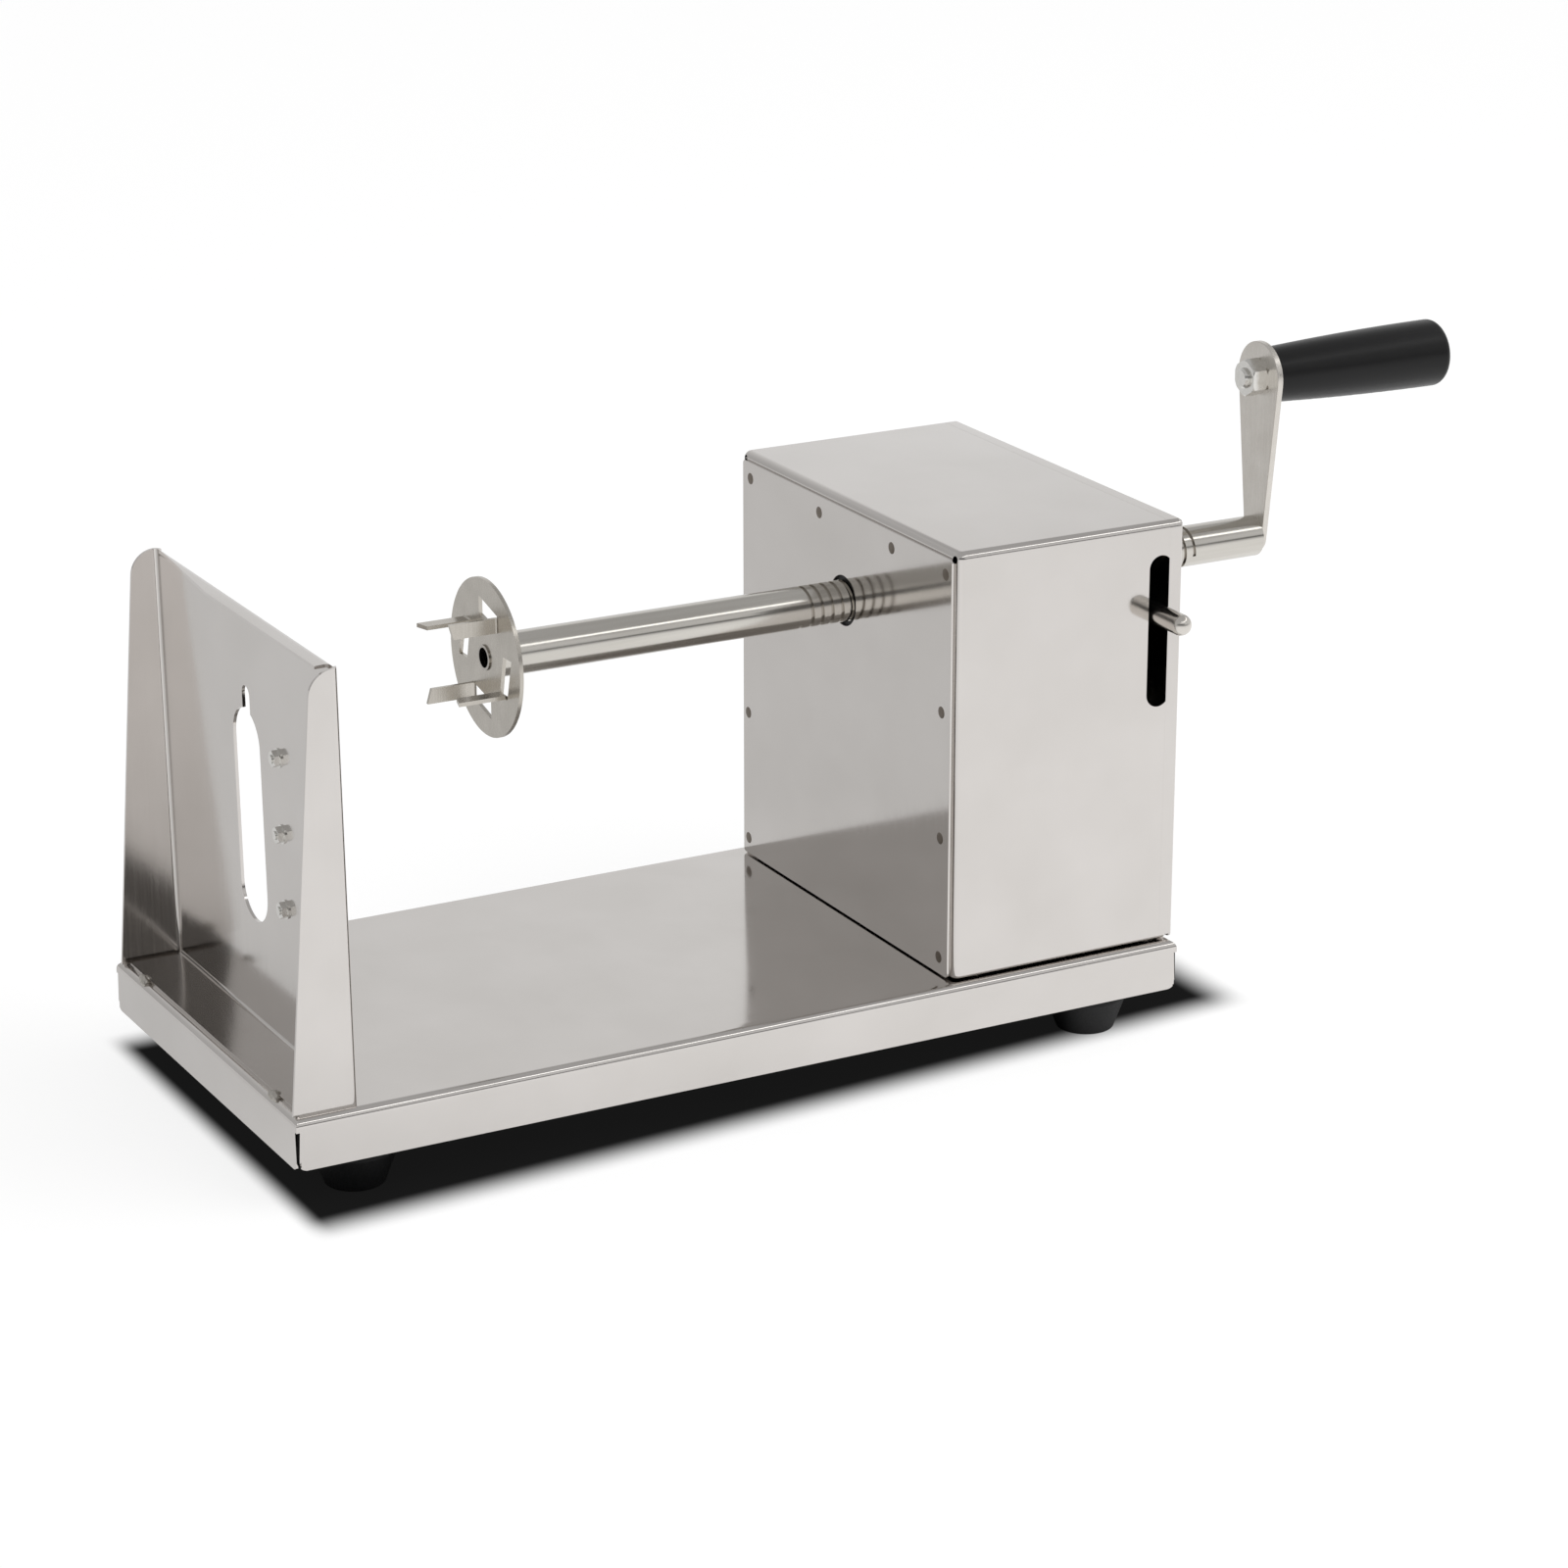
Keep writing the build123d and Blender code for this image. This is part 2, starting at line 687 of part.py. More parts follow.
def housing_nut(x, y):
    """A hexagon nut inside the housing, on the cover's bottom flange."""
    bore = housing_screw_radius + thread_clearance
    nut = hexagon_x(housing_nut_flats, 0, housing_nut_height, 0, 0)
    nut -= bar_x(bore, -margin, housing_nut_height + margin, 0, 0)
    return Pos(x, y, housing_nut_z) * Rot(0, -90, 0) * nut


def bearing_cup(plate_face_x, direction):
    """A cup welded to an end plate; its lip keeps the sleeve in."""
    end = plate_face_x + direction * cup_length
    floor = end - direction * cup_lip
    cup = bar_x(cup_radius, plate_face_x, end)
    cup -= bar_x(cup_bore, plate_face_x - direction, floor)
    return cup - bar_x(plate_hole_radius, plate_face_x - direction, end + direction)


def bearing_sleeve(plate_face_x, direction):
    """The plain bearing sleeve that turns in a cup and lets the tube slide through it."""
    start = plate_face_x + direction * seat_clearance
    end = start + direction * sleeve_length
    low, high = sorted((start, end))
    return ring_x(cup_bore - running_clearance, tube_radius + running_clearance, low, high)


def drive_tube():
    """The long tube with its helical groove, right-handed, one turn for each slice."""
    tube = ring_x(tube_radius, tube_bore, disc_back_x, arm_front_x)
    path = Helix(
        pitch=groove_pitch, height=groove_end_x - groove_start_x, radius=tube_radius,
        direction=(1, 0, 0),
    )
    cutter = Plane(origin=path @ 0, x_dir=(1, 0, 0), z_dir=path % 0)
    groove = sweep(cutter * Rectangle(groove_width, 2 * groove_depth), path, is_frenet=True)
    turns_to_tooth = (lever_x - groove_start_x) / groove_pitch
    placed = Pos(groove_start_x, 0, axis_z) * Rot(-360 * turns_to_tooth, 0, 0) * groove
    return tube - placed


def skewer_tube():
    """The thin tube in the disc's middle that takes the end of the skewer."""
    start = disc_x - skewer_tube_stand_out
    return ring_x(skewer_tube_radius, skewer_tube_bore, start, skewer_tube_end_x)


def skewer_collar():
    """The collar that centres the skewer tube's rear end in the drive tube."""
    end = skewer_tube_end_x - collar_end_gap
    outer = tube_bore - thread_clearance
    return ring_x(outer, skewer_tube_radius + thread_clearance, end - collar_length, end)


def prong_disc():
    """The disc with its four prongs, each cut from the window beside it."""
    disc = bar_x(disc_radius, disc_x, disc_back_x)
    disc -= bar_x(skewer_tube_radius + thread_clearance, disc_x - margin, disc_back_x + margin)
    window = prism_yz(
        [
            (-prong_fold, axis_z + prong_inner),
            (window_far, axis_z + window_inner_far),
            (window_far, axis_z + window_outer_far),
            (-prong_fold, axis_z + window_outer_near),
        ],
        disc_x - margin, disc_back_x + margin,
    )
    prong = prong_and_bend()
    for quarter in range(4):
        turn = Pos(0, 0, axis_z) * Rot(90 * quarter, 0, 0) * Pos(0, 0, -axis_z)
        disc -= turn * window
    for quarter in range(4):
        turn = Pos(0, 0, axis_z) * Rot(90 * quarter, 0, 0) * Pos(0, 0, -axis_z)
        disc += turn * prong
    return disc


def prong_and_bend():
    """The top prong, from its bend at the window's edge to its slanting tip."""
    low = axis_z + prong_inner
    high = low + prong_width
    centre_x = disc_back_x - prong_bend_radius
    centre_y = -prong_fold - disc_sheet / 2
    outer_y = centre_y + prong_bend_radius
    blank = prism_xz(
        [
            (centre_x, low),
            (centre_x, high),
            (prong_tip_x, high),
            (prong_tip_x + prong_tip_slant, low),
        ],
        outer_y - disc_sheet, outer_y,
    )
    bend = bar_z(prong_bend_radius, centre_x, centre_y, low, high)
    bend -= bar_z(prong_bend_inner, centre_x, centre_y, low - margin, high + margin)
    bend &= block(centre_x, disc_back_x, centre_y, outer_y, low, high)
    return blank + bend


def lever_arm():
    """The flat arm that sits across the tube, its tooth in the groove and its eye on the pin."""
    end_low = lever_rod_z - lever_arm_end_height / 2
    end_high = lever_rod_z + lever_arm_end_height / 2
    span = (lever_arm_front_x, lever_arm_back_x)
    arm = prism_yz(
        [
            (lever_rod_inner_y, end_low),
            (lever_rod_inner_y, end_high),
            (-lever_arm_crown_half, axis_z + lever_arm_crown),
            (lever_arm_crown_half, axis_z + lever_arm_crown),
            (lever_pivot_y, axis_z + lever_pivot_eye_radius),
            (lever_pivot_y, axis_z - lever_pivot_eye_radius),
            (saddle_radius + lever_skirt, axis_z - lever_skirt),
            (-saddle_radius - lever_skirt, axis_z - lever_skirt),
        ],
        *span,
    )
    arm += bar_x(lever_pivot_eye_radius, *span, lever_pivot_y, axis_z)
    arm -= bar_x(saddle_radius, lever_arm_front_x - margin, lever_arm_back_x + margin)
    arm -= block(
        lever_arm_front_x - margin, lever_arm_back_x + margin, -saddle_radius, saddle_radius,
        axis_z - 2 * lever_skirt, axis_z,
    )
    bore = pin_radius + running_clearance
    arm -= bar_x(bore, lever_arm_front_x - margin, lever_arm_back_x + margin, lever_pivot_y, axis_z)
    tooth = block(
        lever_x - tooth_thickness / 2, lever_x + tooth_thickness / 2,
        -tooth_half_width, tooth_half_width,
        axis_z + tube_radius - tooth_reach, axis_z + saddle_radius + margin,
    )
    return arm + tooth


def lever_rod():
    """The round-ended rod that comes out of the slot, welded to the arm's end."""
    end = lever_tip_y + lever_rod_radius
    rod = bar_y(lever_rod_radius, lever_x, end, lever_rod_inner_y, lever_rod_z)
    return rod + Pos(lever_x, end, lever_rod_z) * Sphere(lever_rod_radius)


def lever_bracket():
    """A folded bracket, welded inside the rear plate, with an ear on each side of the arm."""
    low = axis_z - bracket_height / 2
    high = axis_z + bracket_height / 2
    near = lever_pivot_y - bracket_reach
    far = bracket_web_y + bracket_sheet
    channel = block(bracket_ear_x, cover_rear_x, near, far, low, high)
    channel -= block(
        bracket_ear_x + bracket_sheet, cover_rear_x - bracket_sheet,
        near - margin, bracket_web_y, low - margin, high + margin,
    )
    bend = channel.edges().filter_by(Axis.Z).group_by(Axis.Y)[-1]
    channel = fillet(bend, bracket_sheet)
    bore = pin_radius + running_clearance
    return channel - bar_x(bore, bracket_ear_x - margin, cover_rear_x + margin, lever_pivot_y, axis_z)


def lever_pin():
    """The lever's hinge pin, with its head on the front ear."""
    end = cover_rear_x - seat_clearance
    head = bar_x(
        pin_head_radius, bracket_ear_x - pin_head_height, bracket_ear_x, lever_pivot_y, axis_z
    )
    return head + bar_x(pin_radius, bracket_ear_x - margin, end, lever_pivot_y, axis_z)


def lever_spacers():
    """The two spacer rings that keep the arm in the middle of its bracket."""
    bore = pin_radius + running_clearance
    gaps = (
        (bracket_ear_x + bracket_sheet, lever_arm_front_x),
        (lever_arm_back_x, cover_rear_x - bracket_sheet),
    )
    rings = [
        ring_x(
            pin_head_radius, bore, start + seat_clearance, end - seat_clearance,
            lever_pivot_y, axis_z,
        )
        for start, end in gaps
    ]
    return group(rings)


def crank_arm():
    """The tapered flat arm, round at both ends, welded to the tube's rear end."""
    slope = (arm_end_radius - arm_hub_radius) / crank_radius
    rise = math.sqrt(1 - slope**2)
    arm = prism_yz(
        [
            (-arm_hub_radius * rise, axis_z - arm_hub_radius * slope),
            (-arm_end_radius * rise, crank_pin_z - arm_end_radius * slope),
            (arm_end_radius * rise, crank_pin_z - arm_end_radius * slope),
            (arm_hub_radius * rise, axis_z - arm_hub_radius * slope),
        ],
        arm_front_x, arm_back_x,
    )
    arm += bar_x(arm_hub_radius, arm_front_x, arm_back_x)
    arm += bar_x(arm_end_radius, arm_front_x, arm_back_x, 0, crank_pin_z)
    bore = handle_bolt_radius + screw_clearance
    return arm - bar_x(bore, arm_front_x - margin, arm_back_x + margin, 0, crank_pin_z)


def handle_bolt():
    """The bolt that the grip turns on, its head sunk in the grip's outer end."""
    seat = grip_seat_x + handle_washer_height
    tip = handle_nut_x - handle_bolt_tip
    head = hexagon_x(
        handle_bolt_head_flats, seat, seat + handle_bolt_head_height, 0, crank_pin_z
    )
    shank = bar_x(handle_bolt_radius, tip, seat + margin, 0, crank_pin_z)
    shank = chamfer(shank.edges().filter_by(GeomType.CIRCLE).sort_by(Axis.X)[0], handle_bolt_tip_chamfer)
    return head + shank


def handle_nut():
    """The hexagon nut on the arm's front face."""
    nut = hexagon_x(handle_nut_flats, handle_nut_x, arm_front_x, 0, crank_pin_z)
    bore = handle_bolt_radius + thread_clearance
    return nut - bar_x(bore, handle_nut_x - margin, arm_front_x + margin, 0, crank_pin_z)


def handle_washer():
    """The washer between the bolt's head and the grip."""
    start = grip_seat_x
    bore = handle_bolt_radius + thread_clearance
    end = start + handle_washer_height
    return ring_x(handle_washer_radius, bore, start, end, 0, crank_pin_z)


def grip():
    """The swelling round grip, bored for its bolt and recessed for the bolt's head."""
    side = ThreePointArc(
        (grip_start_x, grip_small_radius),
        ((grip_start_x + grip_end_x) / 2, grip_middle_radius),
        (grip_end_x, grip_large_radius),
    )
    ends = Polyline(
        (grip_end_x, grip_large_radius), (grip_end_x, 0), (grip_start_x, 0),
        (grip_start_x, grip_small_radius),
    )
    body = revolve(Plane.XZ * make_face([side, ends]), Axis.X)
    rims = body.edges().filter_by(GeomType.CIRCLE).sort_by(Axis.X)
    body = fillet(rims[-1], grip_large_edge)
    rims = body.edges().filter_by(GeomType.CIRCLE).sort_by(Axis.X)
    body = Pos(0, 0, crank_pin_z) * fillet(rims[0], grip_small_edge)
    bore = handle_bolt_radius + running_clearance
    body -= bar_x(bore, grip_start_x - margin, grip_end_x + margin, 0, crank_pin_z)
    return body - bar_x(grip_recess_radius, grip_seat_x, grip_end_x + margin, 0, crank_pin_z)


feet_at = corners(foot_x, foot_y)
housing_screws_at = corners(housing_screw_x, housing_screw_y)
pieces = {
    "base_tray": base_tray(),
    "foot_left_near": foot(*feet_at[0]),
    "foot_left_far": foot(*feet_at[1]),
    "foot_right_near": foot(*feet_at[2]),
    "foot_right_far": foot(*feet_at[3]),
    "foot_washers": group([foot_washer(x, y) for x, y in feet_at]),
    "foot_screws": group([foot_screw(x, y) for x, y in feet_at]),
    "clinch_nuts": group([clinch_nut(x, y) for x, y in feet_at]),
    "stand": stand(),
    "stand_tack_welds": group([tack_weld(side * tack_weld_spread / 2) for side in (-1, 1)]),
    "blade": leaned(blade()),
    "blade_spacers": leaned(group([blade_spacer(z) for z in blade_screw_z])),
    "blade_screws": leaned(group([blade_screw(z) for z in blade_screw_z])),
    "blade_washers": leaned(group([blade_washer(z) for z in blade_screw_z])),
    "blade_nuts": leaned(group([blade_nut(z) for z in blade_screw_z])),
    "housing_cover": housing_cover(),
    "housing_front_plate": housing_plate(housing_front_x, front_plate_inset),
    "housing_rear_plate": housing_plate(cover_rear_x, rear_plate_inset),
    "housing_washers": group([housing_washer(x, y) for x, y in housing_screws_at]),
    "housing_screws": group([housing_screw(x, y) for x, y in housing_screws_at]),
    "housing_nuts": group([housing_nut(x, y) for x, y in housing_screws_at]),
    "front_bearing_cup": bearing_cup(cover_front_x, 1),
    "rear_bearing_cup": bearing_cup(housing_rear_x, 1),
    "front_sleeve": bearing_sleeve(cover_front_x, 1),
    "rear_sleeve": bearing_sleeve(housing_rear_x, 1),
    "lever_bracket": lever_bracket(),
    "lever_pin": lever_pin(),
    "lever_spacers": lever_spacers(),
    "lever_arm": lever_arm(),
    "lever_rod": lever_rod(),
    "drive_tube": drive_tube(),
    "skewer_tube": skewer_tube(),
    "skewer_collar": skewer_collar(),
    "prong_disc": prong_disc(),
    "crank_arm": crank_arm(),
    "handle_bolt": handle_bolt(),
    "handle_washer": handle_washer(),
    "handle_nut": handle_nut(),
    "grip": grip(),
}

os.makedirs("parts", exist_ok=True)
for name, piece in pieces.items():
    export_step(Pos(-origin_x, -origin_y, 0) * piece, f"parts/{name}.step")
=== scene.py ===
import math

import bmesh
import bpy
import numpy as np
from bpy.props import FloatProperty, FloatVectorProperty, PointerProperty, StringProperty
from mathutils import Matrix, Vector


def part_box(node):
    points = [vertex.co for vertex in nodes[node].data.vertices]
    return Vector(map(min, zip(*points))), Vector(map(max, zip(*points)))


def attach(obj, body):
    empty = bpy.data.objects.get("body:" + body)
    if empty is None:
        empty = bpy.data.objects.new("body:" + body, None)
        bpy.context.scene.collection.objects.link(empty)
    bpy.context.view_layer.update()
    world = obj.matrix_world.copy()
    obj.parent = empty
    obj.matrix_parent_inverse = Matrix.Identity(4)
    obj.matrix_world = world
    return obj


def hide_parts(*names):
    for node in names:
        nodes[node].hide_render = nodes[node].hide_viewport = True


bl_info = {
    "name": "Tornado Potato Cutter",
    "version": (1, 0, 0),
    "blender": (4, 5, 0),
    "location": "View3D > Sidebar > Cutter",
    "description": "Dresses a hand-cranked spiral potato cutter in polished sheet steel",
    "category": "Object",
}

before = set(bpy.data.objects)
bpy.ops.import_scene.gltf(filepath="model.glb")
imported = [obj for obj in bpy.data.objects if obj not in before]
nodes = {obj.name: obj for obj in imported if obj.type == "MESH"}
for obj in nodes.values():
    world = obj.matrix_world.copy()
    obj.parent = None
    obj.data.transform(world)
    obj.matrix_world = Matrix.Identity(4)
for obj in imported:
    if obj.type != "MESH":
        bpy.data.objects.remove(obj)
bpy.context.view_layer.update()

MM = 0.001
FRAME_BODY = "frame"

# Places read from the model
TRAY_LOW, TRAY_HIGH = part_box("base_tray")
COVER_LOW, COVER_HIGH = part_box("housing_cover")
FRONT_LOW, FRONT_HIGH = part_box("housing_front_plate")
REAR_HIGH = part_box("housing_rear_plate")[1]
TUBE_LOW, TUBE_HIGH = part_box("drive_tube")
AXIS_Y = (TUBE_LOW.y + TUBE_HIGH.y) / 2
AXIS_Z = (TUBE_LOW.z + TUBE_HIGH.z) / 2
TUBE_RADIUS = (TUBE_HIGH.z - TUBE_LOW.z) / 2
WELDS_LOW, WELDS_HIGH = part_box("stand_tack_welds")

# Depth over which the tube's colour darkens into its groove, a painted shade
GROOVE_PAINTED_SHADE_DEPTH = 0.6 * MM

# Tack weld beads. Each wave of lumps has its depth, its count round the bead, its twist with
# height, its start and its step from bead to bead
WELD_INSET = 2.9 * MM
WELD_X = TRAY_LOW.x + 2.4 * MM
WELD_HALF_X = 2.1 * MM
WELD_HALF_Y = 3.2 * MM
WELD_LUMPS = ((0.16, 3, 0, 1.3, 1.0), (0.10, 5, 4, 0.0, 2.1))

# Spot weld marks, as shares of an end plate's width and height
SPOT_PLACES = (
    *((across, 0.96) for across in (0.027, 0.273, 0.617, 0.961)),
    *((0.039, up) for up in (0.041, 0.331, 0.633)),
    *((0.974, up) for up in (0.041, 0.366)),
)
SPOT_SIDES = 24

# Ground rear seam
SEAM_OVERLAP = 1.5 * MM
SEAM_PAST_PLATE = 0.02 * MM
SEAM_SKIN = 0.015 * MM
SEAM_SHARP_ANGLE = math.radians(40)
BEND_POINTS = 9
ARC_POINTS = 8

# Merging and edge breaking of the dressed copies
MERGE_DISTANCE = 0.002 * MM
FLAT_ANGLE = math.radians(0.5)
SHARP_ANGLE = math.radians(25)
BREAK_ANGLE = math.radians(35)
BREAK_SEGMENTS = 2
THIN_EDGE_BREAK = 0.12 * MM

# Directions over the floor
TOWARDS_LEFT = (-0.88, 0.48, 0.0)
TOWARDS_RIGHT = (0.88, -0.48, 0.0)
TOWARDS_CAMERA = (-0.48, -0.88, 0.0)
TOWARDS_FRONT = (0.0, -1.0, 0.0)
TOWARDS_WINDOW = (0.63, -0.77, 0.0)
TOWARDS_BACK_LEFT = (-0.48, 0.88, 0.0)

# Parts of the room. Heights are the upward part of a ray's direction, over which a part fades in
# or out, and a reach is how squarely a ray points at it, over which it fades in
SIDE_REACH = (0.0, 0.8)
CEILING_RISE = (0.50, 0.62)
CARD_RISE, CARD_FALL, CARD_REACH = (0.06, 0.12), (0.42, 0.5), (0.6, 0.85)
GAP_RISE, GAP_FALL, GAP_REACH = (0.07, 0.11), (0.19, 0.23), (0.5, 0.75)
WINDOW_RISE, WINDOW_FALL, WINDOW_REACH = (0.64, 0.67), (0.71, 0.74), (0.2, 0.4)
DARK_DEPTH = 0.8

# The floor's mirrored glow, in metres towards the back left
SLOPE_SPAN = (-0.1, 0.25)
FAR_FRONT_SPAN = (-0.8, -0.4)
FAR_FRONT_SHARE = 0.92
# Softness of the painted contact shadow's left edge, as a share of its blur
PAINTED_SHADOW_LEFT_SOFTNESS = 0.5

LAMP_PLACE = Vector((0.9, -1.1, 1.6))
LAMP_SIZE = 1.6
SENSOR_WIDTH = 36.0
CLIP_END = 50.0


# Small helpers for meshes and materials

def linear(code):
    """A colour written as an sRGB hex code, as linear RGBA."""
    channels = [int(code[i:i + 2], 16) / 255 for i in (1, 3, 5)]
    curve = [c / 12.92 if c <= 0.04045 else ((c + 0.055) / 1.055) ** 2.4 for c in channels]
    return (*curve, 1.0)


def add(tree, kind, settings=None, links=None):
    """Adds one node, with values for its attributes or inputs, and links into its inputs."""
    node = tree.nodes.new(kind)
    for name, value in (settings or {}).items():
        if isinstance(name, str) and hasattr(node, name):
            setattr(node, name, value)
        else:
            node.inputs[name].default_value = value
    for name, socket in (links or {}).items():
        tree.links.new(socket, node.inputs[name])
    return node


def new_material(name):
    """An empty node material with a shader, and its tree."""
    material = bpy.data.materials.new(name)
    material.use_nodes = True
    tree = material.node_tree
    tree.nodes.clear()
    shader = add(tree, "ShaderNodeBsdfPrincipled")
    output = add(tree, "ShaderNodeOutputMaterial")
    tree.links.new(shader.outputs["BSDF"], output.inputs["Surface"])
    return material, tree, shader


def pattern(tree, kind, spacing_mm, settings=None, turn=(0, 0, 0)):
    """A texture on Object coordinates whose feature size along X, Y and Z is in millimetres."""
    place = add(tree, "ShaderNodeTexCoord")
    scale = [1 / (size * MM) for size in spacing_mm]
    mapping = add(
        tree, "ShaderNodeMapping", {"Scale": scale, "Rotation": turn},
        {"Vector": place.outputs["Object"]},
    )
    return add(
        tree, kind, {"Scale": 1.0, **(settings or {})}, {"Vector": mapping.outputs["Vector"]}
    )


def ramp(tree, socket, low, high, low_out, high_out, shape="LINEAR"):
    """Maps a value between two limits, clamped at both ends."""
    node = add(
        tree, "ShaderNodeMapRange",
        {
            "From Min": low, "From Max": high, "To Min": low_out, "To Max": high_out,
            "interpolation_type": shape,
        },
        {"Value": socket},
    )
    return node.outputs["Result"]


def tint(tree, socket, dark, light):
    """A colour between two hex codes."""
    node = add(
        tree, "ShaderNodeMix", {"data_type": "RGBA", 6: linear(dark), 7: linear(light)}, {0: socket}
    )
    return node.outputs[2]


def bump(tree, socket, height_mm, strength=1.0, under=None):
    """A bump of a real height."""
    links = {"Height": socket}
    if under is not None:
        links["Normal"] = under
    node = add(
        tree, "ShaderNodeBump", {"Strength": strength, "Distance": height_mm * MM}, links
    )
    return node.outputs["Normal"]


def combine(tree, operation, first, second):
    """A math operation on a value and another value or number."""
    node = add(tree, "ShaderNodeMath", {"operation": operation}, {0: first})
    if isinstance(second, float):
        node.inputs[1].default_value = second
    else:
        tree.links.new(second, node.inputs[1])
    return node.outputs[0]


def along(tree, vector, direction):
    """How far a vector reaches along a direction."""
    node = add(
        tree, "ShaderNodeVectorMath", {"operation": "DOT_PRODUCT", 1: direction}, {0: vector}
    )
    return node.outputs["Value"]


# Finishes

def polished_sheet(name, grain, roughness, dark="#C9C5C1", light="#D6D2CF"):
    """Stainless steel sheet, cold rolled and buffed: it mirrors softly, with faint waves from
    rolling and a hair-fine grain along the sheet, drawn at 0.5 mm so that it shows."""
    material, tree, shader = new_material(name)
    hair = pattern(tree, "ShaderNodeTexNoise", grain, {"Detail": 3.0})
    wave = pattern(tree, "ShaderNodeTexNoise", (70, 70, 70), {"Detail": 1.0})
    cloud = pattern(tree, "ShaderNodeTexNoise", (35, 45, 35), {"Detail": 3.0})
    waves = bump(tree, wave.outputs["Fac"], 0.12)
    normal = bump(tree, hair.outputs["Fac"], 0.004, under=waves)
    colour = tint(tree, cloud.outputs["Fac"], dark, light)
    rough = ramp(tree, hair.outputs["Fac"], 0.3, 0.7, roughness * 0.8, roughness * 1.25)
    shader.inputs["Metallic"].default_value = 1.0
    tree.links.new(colour, shader.inputs["Base Color"])
    tree.links.new(rough, shader.inputs["Roughness"])
    tree.links.new(normal, shader.inputs["Normal"])
    return material


def satin_steel(name, grain, roughness=0.3, dark="#CBC6BF", light="#DCD8D2"):
    """Stainless steel flat bar and disc, belt ground: a soft sheen with fine straight scratches,
    drawn at 0.4 mm."""
    material, tree, shader = new_material(name)
    scratch = pattern(tree, "ShaderNodeTexNoise", grain, {"Detail": 4.0, "Roughness": 0.6})
    cloud = pattern(tree, "ShaderNodeTexNoise", (9, 9, 9), {"Detail": 2.0})
    normal = bump(tree, scratch.outputs["Fac"], 0.0035)
    shader.inputs["Metallic"].default_value = 1.0
    tree.links.new(tint(tree, cloud.outputs["Fac"], dark, light), shader.inputs["Base Color"])
    rough = ramp(tree, scratch.outputs["Fac"], 0.3, 0.7, roughness * 0.8, roughness * 1.2)
    tree.links.new(rough, shader.inputs["Roughness"])
    tree.links.new(normal, shader.inputs["Normal"])
    return material


def turned_tube(name):
    """Polished stainless tube: a bright mirror round the bar, with faint rings from polishing in
    a lathe, 0.3 mm apart, and long soft streaks along it. Its groove has a painted shade: the
    colour turns darker towards the groove's bottom."""
    material, tree, shader = new_material(name)
    rings = pattern(tree, "ShaderNodeTexNoise", (0.3, 30, 30), {"Detail": 2.0})
    streak = pattern(tree, "ShaderNodeTexNoise", (60, 2.5, 2.5), {"Detail": 2.0})
    normal = bump(tree, rings.outputs["Fac"], 0.004)
    shader.inputs["Metallic"].default_value = 1.0
    skin = tint(tree, streak.outputs["Fac"], "#BDB9B2", "#D8D5CF")
    place = add(tree, "ShaderNodeTexCoord")
    across = add(
        tree, "ShaderNodeVectorMath",
        {"operation": "MULTIPLY_ADD", 1: (0, 1, 1), 2: (0, -AXIS_Y, -AXIS_Z)},
        {0: place.outputs["Object"]},
    )
    radius = add(tree, "ShaderNodeVectorMath", {"operation": "LENGTH"}, {0: across.outputs[0]})
    # Painted shade: the colour darkens towards the bottom of the groove
    clear_of_painted_shade = ramp(
        tree, radius.outputs["Value"], TUBE_RADIUS - GROOVE_PAINTED_SHADE_DEPTH, TUBE_RADIUS, 0.0, 1.0
    )
    colour = add(
        tree, "ShaderNodeMix", {"data_type": "RGBA", 6: linear("#B4AFA8")}, {0: clear_of_painted_shade, 7: skin}
    ).outputs[2]
    tree.links.new(colour, shader.inputs["Base Color"])
    rough = ramp(tree, streak.outputs["Fac"], 0.3, 0.7, 0.12, 0.2)
    tree.links.new(rough, shader.inputs["Roughness"])
    tree.links.new(normal, shader.inputs["Normal"])
    return material


def zinc_plate(name):
    """Steel fasteners, bright zinc plated: a neutral white, slightly mottled over 2 mm."""
    material, tree, shader = new_material(name)
    mottle = pattern(tree, "ShaderNodeTexNoise", (2, 2, 2), {"Detail": 4.0})
    shader.inputs["Metallic"].default_value = 1.0
    colour = tint(tree, mottle.outputs["Fac"], "#CFCDC8", "#F0EFEC")
    tree.links.new(colour, shader.inputs["Base Color"])
    rough = ramp(tree, mottle.outputs["Fac"], 0.3, 0.7, 0.16, 0.28)
    tree.links.new(rough, shader.inputs["Roughness"])
    normal = bump(tree, mottle.outputs["Fac"], 0.02)
    tree.links.new(normal, shader.inputs["Normal"])
    return material


def weld_metal(name, dark, light):
    """Weld steel, brushed: greyer and rougher than the sheet, rippled about every 1 mm."""
    material, tree, shader = new_material(name)
    ripple = pattern(tree, "ShaderNodeTexNoise", (1, 1, 1), {"Detail": 4.0})
    shader.inputs["Metallic"].default_value = 1.0
    colour = tint(tree, ripple.outputs["Fac"], dark, light)
    tree.links.new(colour, shader.inputs["Base Color"])
    rough = ramp(tree, ripple.outputs["Fac"], 0.3, 0.7, 0.3, 0.5)
    tree.links.new(rough, shader.inputs["Roughness"])
    tree.links.new(bump(tree, ripple.outputs["Fac"], 0.08), shader.inputs["Normal"])
    return material


def moulded(name, dark, light, roughness, grit_mm, depth_mm):
    """Moulded rubber or plastic: a matt skin with a fine even grit from the mould."""
    material, tree, shader = new_material(name)
    grit = pattern(tree, "ShaderNodeTexNoise", (grit_mm,) * 3, {"Detail": 3.0})
    cloud = pattern(tree, "ShaderNodeTexNoise", (12, 12, 12), {"Detail": 2.0})
    shader.inputs["Specular IOR Level"].default_value = 0.3
    tree.links.new(tint(tree, cloud.outputs["Fac"], dark, light), shader.inputs["Base Color"])
    rough = ramp(tree, grit.outputs["Fac"], 0.3, 0.7, roughness * 0.85, roughness * 1.15)
    tree.links.new(rough, shader.inputs["Roughness"])
    tree.links.new(bump(tree, grit.outputs["Fac"], depth_mm), shader.inputs["Normal"])
    return material


